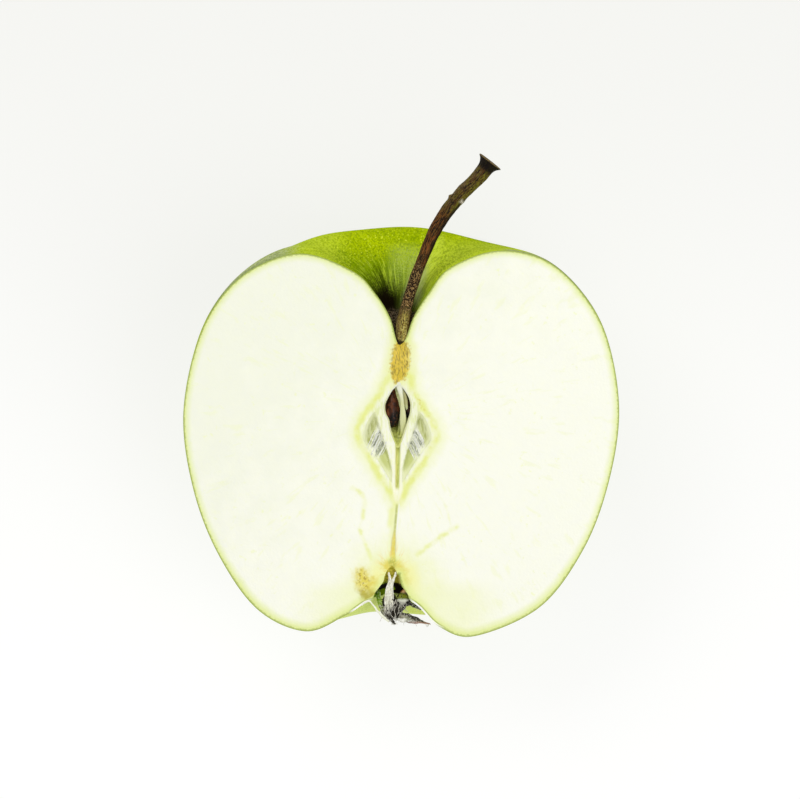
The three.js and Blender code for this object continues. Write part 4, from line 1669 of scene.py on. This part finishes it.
@dataclass
class Stalk:
    """The whole stalk: barked, bent to the right, swollen at the foot and flared where it broke off."""

    route: Route = (
        (0.4, 1.15, 13.37), (0.98, 1.25, 18.37), (2.39, 1.45, 23.58), (4.38, 1.7, 29.06), (6.42, 1.9, 33.88),
        (8.77, 2.0, 37.72), (11.45, 2.05, 41.03), (14.4, 2.2, 43.96), (16.75, 2.7, 46.95),
    )
    half_widths: tuple[float, ...] = (
        0.98, 1.24, 1.24, 1.08, 1.0, 1.0, 1.0, 1.0, 1.04, 1.1, 1.16, 1.2, 1.24, 1.26, 1.28, 1.3, 1.3,
        1.32, 1.38, 1.5, 1.62,
    )
    disc: float = 2.3  # half-width of the broken end
    sides: int = 64
    rings: int = 420
    cap: float = 0.016

    def girth(self, share: np.ndarray, angle: np.ndarray) -> np.ndarray:
        """The two half-widths at a share of the way up and an angle round it."""
        radius = profile(self.half_widths, share)
        radius = radius + (self.disc - radius) * np.clip((share - 0.925) / 0.065, 0, 1) ** 2.2
        ring = np.column_stack([np.cos(angle) * 1.3, np.sin(angle) * 1.3, share * 14])
        fine = np.column_stack([np.cos(angle) * 4.2, np.sin(angle) * 4.2, share * 20])
        bark = 0.08 * grain(ring, 1.0, 3) + 0.06 * grain(fine, 1.0, 2)
        bud = 0.32 * np.exp(-(((share - 0.7) / 0.011) ** 2)) * fade(np.cos(angle), 0.5, 0.95)
        scar = 0.16 * np.exp(-(((share - 0.722) / 0.02) ** 2)) * fade(np.cos(angle), -0.4, -0.9)
        lip = 0.2 * fade(share, 0.96, 0.99) * grain(ring, 0.6, 2)
        bark = bark * (1 + fade(share, 0.16, 0.08))
        radius = radius + 1.1 * (bark + lip) + bud + scar
        return np.column_stack([radius, radius * 0.96])

    def build(self) -> bpy.types.Object:
        """Makes the stalk and dresses it."""
        piece = swept("stalk_bark", self.route, self.girth, self.sides, self.rings, self.cap, bulge=0.05)
        unit, angle, along = ball("measure", self.sides, self.rings)
        measure(piece, "share", np.clip((along - self.cap) / (1 - 2 * self.cap), 0, 1))
        measure(piece, "turn", angle)
        bpy.data.objects.remove(unit)
        piece.data.materials.append(StalkFinish().material())
        return finished(piece, ["stem"])


# ---- the dried calyx ----


@dataclass(frozen=True)
class Leaf:
    """One dried leaf: a thin strip, curled across its width, with short down on it.

    A knot is x, y and z in mm, the half-width in mm, and how far the strip is turned about its run, in
    degrees. A curl over 0 turns the leaf's edges away from the eye.
    """

    knots: Route
    curl: float
    look: LeafFinish
    hairs: int = 0
    bare: float = 0.03  # the share of its length that has no down
    hair: tuple[float, float] = (0.25, 0.62)  # shortest and longest, in mm
    thickness: float = 0.16
    seed: int = 1

    def line(self, share: np.ndarray) -> tuple[np.ndarray, ...]:
        """The middle, the half-width, and the directions across the leaf and out of it."""
        step = 1e-3
        centre, width, turn = np.split(spline(self.knots, share), [3, 4], axis=1)
        tangent = (spline(self.knots, share + step) - spline(self.knots, share - step))[:, :3]
        tangent /= np.linalg.norm(tangent, axis=1)[:, None]
        wide = np.cross(tangent, (0, 1, 0.15))
        wide /= np.linalg.norm(wide, axis=1)[:, None]
        back = np.cross(wide, tangent)
        turn = np.radians(turn)
        across = wide * np.cos(turn) + back * np.sin(turn)
        return centre, width, across, back * np.cos(turn) - wide * np.sin(turn)

    def points(self, share: np.ndarray, side: np.ndarray) -> np.ndarray:
        """Places on the leaf.

        Args:
            share: shares of its length.
            side: places across it, from -1 to 1.

        Returns:
            One row of x, y and z in mm for each.
        """
        centre, width, wide, back = self.line(share)
        bend = (self.curl * side * (0.8 + 0.3 * np.sin(share * 7 + self.seed)))[:, None]
        width = width * (1 + 0.12 * np.sin(share * 23 + side * 2 + self.seed))[:, None]
        across = wide * np.sin(bend) / self.curl + back * (1 - np.cos(bend)) / self.curl
        points = centre + across * width
        return points + 0.1 * np.column_stack([grain(points + i * 5, 0.8) for i in range(3)])

    def blade(self, name: str) -> bpy.types.Object:
        """The leaf itself."""
        piece, across, along = sheet(name, 18, 60)
        side = across * 2 - 1
        place(piece, self.points(along, side))
        measure(piece, "share", along)
        measure(piece, "side", side)
        piece.data.materials.append(self.look.material(name))
        modify(piece, "SOLIDIFY", thickness=self.thickness, offset=0.0)
        return modify(piece, "SUBSURF", levels=1, render_levels=1)

    def down(self) -> list[Route]:
        """Short hairs that lie and stand on the leaf."""
        draw = random.Random(self.seed)
        share = np.array([draw.uniform(self.bare, 0.97) for _ in range(self.hairs)])
        side = np.array([draw.uniform(-0.95, 0.95) for _ in range(self.hairs)])
        bases = self.points(share, side)
        _, _, wide, back = self.line(share)
        routes = []
        for base, out, over in zip(bases, -back, wide):
            sway = over * draw.uniform(-0.8, 0.8)
            sway = sway + (draw.uniform(-0.3, 0.3), 0, draw.uniform(-0.6, 0.2))
            lean = out * draw.uniform(0.15, 0.8) + sway
            bow = np.array([draw.uniform(-0.4, 0.4), 0, draw.uniform(-0.4, 0.2)])
            length = draw.uniform(*self.hair)
            shares = np.linspace(0, 1, 4)
            thread = base + (lean * shares[:, None] + bow * shares[:, None] ** 2) * length
            routes.append([(*p, 1 - 0.6 * s) for p, s in zip(thread, shares)])
        return routes


@dataclass(frozen=True)
class Sepal:
    """One dried sepal: its leaves and their down, as one piece."""

    name: str
    node: str
    leaves: tuple[Leaf, ...]
    hair_colour: Colour = ink("CFCDBC")

    def build(self) -> bpy.types.Object:
        """Makes the sepal and dresses it."""
        parts = [leaf.blade(f"{self.name} leaf {i}") for i, leaf in enumerate(self.leaves)]
        down = fibres(f"{self.name} down", [hair for leaf in self.leaves for hair in leaf.down()], 0.05, 0)
        look = DryFinish(self.hair_colour, ink("F4F3EA"), ink("2A261C"), 0.6, 0.5, 0.8)
        down.data.materials.append(look.material(f"{self.name} down"))
        return finished(join([*parts, down], self.name), [self.node])


@dataclass
class PistilTuft:
    """The pistil's pale fibres, forked above and frayed below, with dark stamens among them."""

    fork: tuple[tuple[float, float, float], ...] = ((-1.9, 0.1, -29.75), (-0.62, 0.1, -29.7))
    throat: tuple[float, float, float] = (-1.34, 0.15, -31.2)
    waist: tuple[float, float, float] = (-1.62, 0.2, -32.0)
    belly: tuple[float, float, float] = (-1.76, 0.3, -33.7)
    foot: tuple[float, float, float] = (-1.85, 0.5, -35.7)
    strands: int = 50
    frays: int = 50
    stamens: int = 60
    seed: int = 11

    def thread(
        self, knots: Route, steps: int, wave: float, draw: random.Random, ends: tuple[float, float]
    ) -> Route:
        """A wavy thread through knots.

        Args:
            knots: its middle line.
            steps: how many points it gets.
            wave: how far it waves, in mm.
            draw: where chance comes from.
            ends: its thickness at the start and at the end, as a share of the full one.

        Returns:
            Points with the share of the thickness.
        """
        share = np.linspace(0, 1, steps)
        line = spline(knots, share)
        for axis in range(3):
            line[:, axis] += wave * np.sin(share * draw.uniform(8, 18) + draw.uniform(0, 6))
        width = ends[0] + (ends[1] - ends[0]) * share
        return [(*point, w) for point, w in zip(line, width)]

    def pale(self) -> bpy.types.Object:
        """The pale strands."""
        draw = random.Random(self.seed)
        routes = []
        for index in range(self.strands):
            side = index % 2 * 2 - 1
            spread = draw.uniform(-1, 1)
            edge = side * 0.5 + spread * 0.5
            start = scattered(draw, (-0.05, 0.05), (0, 0.2), (-0.5, 0.1)) + self.fork[index % 2]
            throat = np.array(self.throat) + (edge * 0.4 + side * 0.08, draw.uniform(-0.1, 0.5), 0)
            waist = np.array(self.waist) + (edge * 0.55, draw.uniform(-0.2, 0.5), 0)
            belly = np.array(self.belly) + (edge * 0.74, draw.uniform(-0.2, 0.5), 0)
            foot = np.array(self.foot) + (edge * 0.85, draw.uniform(-0.3, 0.5), draw.uniform(-1.9, 1.2))
            routes.append(self.thread([start, throat, waist, belly, foot], 16, 0.055, draw, (0.75, 0.5)))
        return fibres("pale strands", routes, 0.115)

    def frayed(self) -> bpy.types.Object:
        """The tangle of thin ends under them."""
        draw = random.Random(self.seed + 2)
        routes = []
        for _ in range(self.frays):
            start = scattered(draw, (-3.0, 0.7), (0.3, 1.6), (-36.4, -34.8))
            middle = start + scattered(draw, (-0.7, 0.7), (-0.4, 0.2), (-1.5, -0.7))
            end = middle + scattered(draw, (-0.9, 1.0), (-0.2, 0.4), (-1.5, -0.2))
            routes.append(self.thread([start, middle, end], 9, 0.09, draw, (1.0, 0.4)))
        return fibres("frayed ends", routes, 0.07, 0)

    def dark(self) -> bpy.types.Object:
        """The dark dried stamens behind."""
        draw = random.Random(self.seed + 1)
        routes = []
        for _ in range(self.stamens):
            start = scattered(draw, (-3.2, 0.6), (0.6, 2.2), (-35.8, -34.0))
            end = scattered(draw, (-2.4, 0.2), (0.3, 1.8), (-38.8, -36.8))
            middle = (start + end) / 2 + (draw.uniform(-0.9, 0.9), draw.uniform(-0.4, 0.4), 0)
            routes.append(self.thread([start, middle, end], 12, 0.1, draw, (0.7, 0.9)))
        return fibres("dark stamens", routes, 0.15)

    def build(self) -> list[bpy.types.Object]:
        """Makes the pale tuft and the dark stamens, and dresses them."""
        pale, frayed, dark = self.pale(), self.frayed(), self.dark()
        looks = (
            (pale, DryFinish(ink("FFFFF0"), ink("FFFFFF"), ink("CBC48C"), 0.6, 0.6, 0.4), "pale fibre"),
            (frayed, DryFinish(ink("DAD6C4"), ink("FCFAF0"), ink("2C2618"), 0.6, 0.8, 0.4), "frayed fibre"),
            (dark, DryFinish(ink("221C10"), ink("8A846C"), ink("0C0906"), 0.25, 0.7, 0.8), "dark fibre"),
        )
        for piece, look, name in looks:
            piece.data.materials.append(look.material(name))
        tuft = join([pale, frayed], "style_fibres")
        dark.name = dark.data.name = "stamens"
        return [finished(tuft, ["pistil_tuft"]), finished(dark)]


def calyx_sepals() -> list[Sepal]:
    """The dried sepals, in the order they lie."""
    hoary, ash, black = "A3A78A", "84826E", "15110B"
    left = Leaf(
        ((-4.13, 1.7, -33.0, 0.55, 0), (-3.8, 1.1, -34.5, 0.85, 0), (-3.21, 0.8, -36.2, 0.8, 10),
         (-2.39, 0.8, -37.6, 0.62, 0), (-1.47, 1.0, -38.8, 0.42, -10), (-0.59, 1.3, -39.7, 0.1, 0)),
        0.6, LeafFinish(((0.0, "3C5208"), (0.15, "6A9010"), (0.34, "7C9A18"), (0.45, "6E7440"),
                         (0.65, ash), (0.82, black)), 0.5, 0.65), hairs=150, bare=0.36, seed=3)
    lip = Leaf(
        ((-7.0, 0.14, -35.8, 0.1, 0), (-6.2, 0.1, -35.25, 0.16, 0), (-5.45, 0.06, -35.1, 0.18, 0),
         (-4.85, 0.06, -35.6, 0.18, 0), (-4.35, 0.06, -36.35, 0.17, 0), (-3.6, 0.1, -37.35, 0.16, 0),
         (-2.8, 0.2, -38.25, 0.14, 0), (-1.9, 0.5, -39.0, 0.05, 0)),
        0.8, LeafFinish(((0.0, "FAFAEC"), (1.0, "F2F4D8")), 0.5, 0.0, dark=ink("B9C060")),
        thickness=0.3, seed=8)
    # Lower down, the dome's colours carry a whitish painted highlight.
    dome = Leaf(
        ((0.66, 2.5, -33.55, 1.0, 0), (0.72, 1.3, -33.9, 1.45, 0), (0.7, 0.65, -34.6, 1.65, 0),
         (0.66, 0.5, -35.4, 1.6, 0), (0.55, 1.0, -36.3, 1.2, 0)),
        1.25, LeafFinish(((0.0, "3A1A08"), (0.1, "D08850"), (0.18, "F4C890"), (0.25, "4A5206"),
                          (0.4, "7C8608"), (0.54, "606C10"), (0.64, "D6D8C4"),
                          (0.86, "B4B4A0"), (1.0, black)), 0.12, 0.3, ragged=0.1),
        hairs=40, bare=0.7, seed=4)
    arm = Leaf(
        ((0.9, 1.0, -35.45, 0.4, 0), (1.5, 0.6, -35.6, 0.62, 20), (2.2, 0.45, -35.8, 0.46, -20),
         (2.9, 0.45, -36.1, 0.56, 10), (3.5, 0.5, -36.5, 0.44, 0), (4.0, 0.7, -36.9, 0.08, 0)),
        1.1, LeafFinish(((0.0, black), (0.42, black), (0.52, "5A6038"), (0.62, "26281A"),
                         (0.82, "5E6248"), (1.0, black)), 0.25, 0.55), hairs=18, seed=12)
    hook = Leaf(
        ((1.01, 0.9, -35.5, 0.3, 0), (1.06, 0.6, -36.1, 0.42, 0), (0.64, 0.6, -36.85, 0.4, 0),
         (-0.2, 0.9, -37.5, 0.18, 0)),
        1.2, LeafFinish(((0.0, "2A261E"), (0.6, black), (1.0, black)), 0.35, 0.3), hairs=30, seed=13)
    point = Leaf(
        ((-2.75, 0.8, -36.49, 0.3, 0), (-2.29, 0.6, -37.58, 0.4, 20), (-1.56, 0.6, -38.61, 0.36, 0),
         (-0.64, 0.9, -39.75, 0.06, 0)),
        1.2, LeafFinish(((0.0, ash), (0.3, "38342A"), (1.0, black)), 0.3, 0.6), hairs=36, seed=14)
    silk = Leaf(
        ((-1.1, 1.3, -38.3, 0.4, 0), (-0.09, 1.0, -38.8, 0.5, 0), (0.92, 1.0, -38.95, 0.42, 10),
         (1.83, 1.3, -38.75, 0.15, 0)),
        1.0, LeafFinish(((0.0, "EEEEE2"), (0.6, "F6F6EE"), (1.0, hoary)), 0.6, 0.35), hairs=40, seed=15)
    broad = Leaf(
        ((-1.47, 2.0, -37.47, 0.5, 0), (-0.55, 1.6, -38.2, 0.75, 15), (0.73, 1.5, -38.6, 0.72, -15),
         (2.2, 1.7, -38.81, 0.62, 15), (3.85, 2.1, -39.33, 0.42, 0), (5.8, 2.4, -39.98, 0.05, 0)),
        0.9, LeafFinish(((0.0, black), (0.25, ash), (0.4, "B9B49C"), (0.55, hoary), (0.7, "5E5244"),
                         (0.82, "8E6656"), (1.0, "A8684A")), 0.5, 0.7), hairs=90, seed=6)
    ridge = Leaf(
        ((-0.37, 1.4, -37.5, 0.25, 0), (0.92, 1.1, -37.7, 0.34, 0), (2.39, 1.3, -38.35, 0.34, 20),
         (3.85, 1.7, -39.06, 0.2, 0), (4.68, 2.0, -39.5, 0.04, 0)),
        1.2, LeafFinish(((0.0, ash), (0.3, "2A251C"), (1.0, black)), 0.3, 0.6), hairs=30, seed=16)
    hem = Leaf(
        ((1.1, 2.0, -39.2, 0.15, 0), (2.2, 1.9, -39.6, 0.22, 0), (3.67, 2.0, -39.6, 0.18, 0),
         (5.69, 2.4, -39.9, 0.05, 0)),
        1.2, LeafFinish(((0.0, "8C8478"), (0.5, "A88E84"), (1.0, "A86A4C")), 0.4, 0.3),
        hairs=8, seed=17)
    return [
        Sepal("left_sepal", "sepal_left", (left, lip, point)),
        Sepal("right_sepal", "sepal_right", (dome, arm, hook)),
        Sepal("tip_sepal", "sepal_tip", (broad, silk, ridge, hem)),
    ]


# ---- the studio ----


@dataclass(frozen=True)
class Studio:
    """A pale, softly glowing table, soft lights and the camera that looks straight down."""

    pixels: tuple[int, int] = (800, 799)
    pixel: float = 0.18349  # mm that a pixel sees at the cut's middle
    centre: tuple[float, float] = (0.183, 2.844)  # the picture's middle from the fruit's origin, in mm
    camera_height: float = 3.0
    sensor: float = 36.0
    world: float = 0.5
    glow: float = 0.81
    table: Colour = ink("7C7C7A")

    def light(self, name: str, where: tuple[float, float, float], size: float, power: float) -> None:
        """Adds one soft light that shines at the fruit."""
        bpy.ops.object.select_all(action="DESELECT")
        bpy.ops.object.light_add(type="AREA", location=where)
        lamp = bpy.context.object
        lamp.name = name
        lamp.data.size = size
        lamp.data.energy = power
        aim = Vector((0, 0, 0.03)) - Vector(where)
        lamp.rotation_euler = aim.to_track_quat("-Z", "Y").to_euler()

    def floor(self) -> None:
        """Adds the table."""
        bpy.ops.object.select_all(action="DESELECT")
        bpy.ops.mesh.primitive_plane_add(size=12)
        piece = named("table")
        s = Shader("table")
        own = s.node("ShaderNodeTexCoord")
        glow = Value(s, s.node("ShaderNodeSeparateXYZ", {}, {"Vector": own.outputs["Object"]}).outputs["Y"])
        light = s.mix(glow.fade(0.09, -0.06), ink("F0F0ED"), ink("FFFFFF"))
        piece.data.materials.append(s.surface({
            "Base Color": self.table,
            "Roughness": 0.9,
            "Specular IOR Level": 0.0,
            "Emission Color": light,
            "Emission Strength": self.glow,
        }))

    def camera(self) -> None:
        """Adds the camera."""
        x, y = (at + base for at, base in zip(self.centre, FRUIT.origin))
        bpy.ops.object.select_all(action="DESELECT")
        bpy.ops.object.camera_add(location=(x * MM, y * MM, self.camera_height), rotation=(0, 0, 0))
        camera = bpy.context.object
        camera.name = "camera"
        camera.data.sensor_width = self.sensor
        width = self.pixels[0] * self.pixel * MM
        away = self.camera_height - FRUIT.origin[2] * MM
        camera.data.lens = self.sensor * away / width
        camera.data.clip_end = 50
        bpy.context.scene.camera = camera

    def build(self) -> None:
        """Sets the whole studio up."""
        scene = bpy.context.scene
        scene.view_settings.view_transform = "Standard"
        scene.world = bpy.data.worlds.new("studio")
        scene.world.use_nodes = True
        background = scene.world.node_tree.nodes["Background"]
        background.inputs["Color"].default_value = (1, 1, 1, 1)
        background.inputs["Strength"].default_value = self.world
        self.floor()
        self.light("key", (-0.45, 0.65, 0.9), 0.7, 5.8)
        self.light("fill", (0.5, -0.3, 1.1), 0.9, 5.6)
        self.camera()


def main() -> None:
    """Builds the half apple and its studio."""
    logging.basicConfig(level=logging.INFO, format="%(message)s")
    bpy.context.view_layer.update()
    core, chamber, tube = Core(), SeedChamber(), CalyxTube()
    Flesh(core, chamber, tube).build()
    chamber.build()
    for side in Side:
        CarpelWall(side, core).build()
    Seed("left_seed", "seed_left", (-1.2, 1.75, 1.05), (1.35, 1.75, 3.8), 0, notch=0.2).build()
    Seed("right_seed", "seed_right", (1.7, 2.3, 0.7), (0.85, 1.4, 1.7), -5).build()
    Stalk().build()
    PistilTuft().build()
    for sepal in calyx_sepals():
        sepal.build()
    Studio().build()


if __name__ == "__main__":
    main()
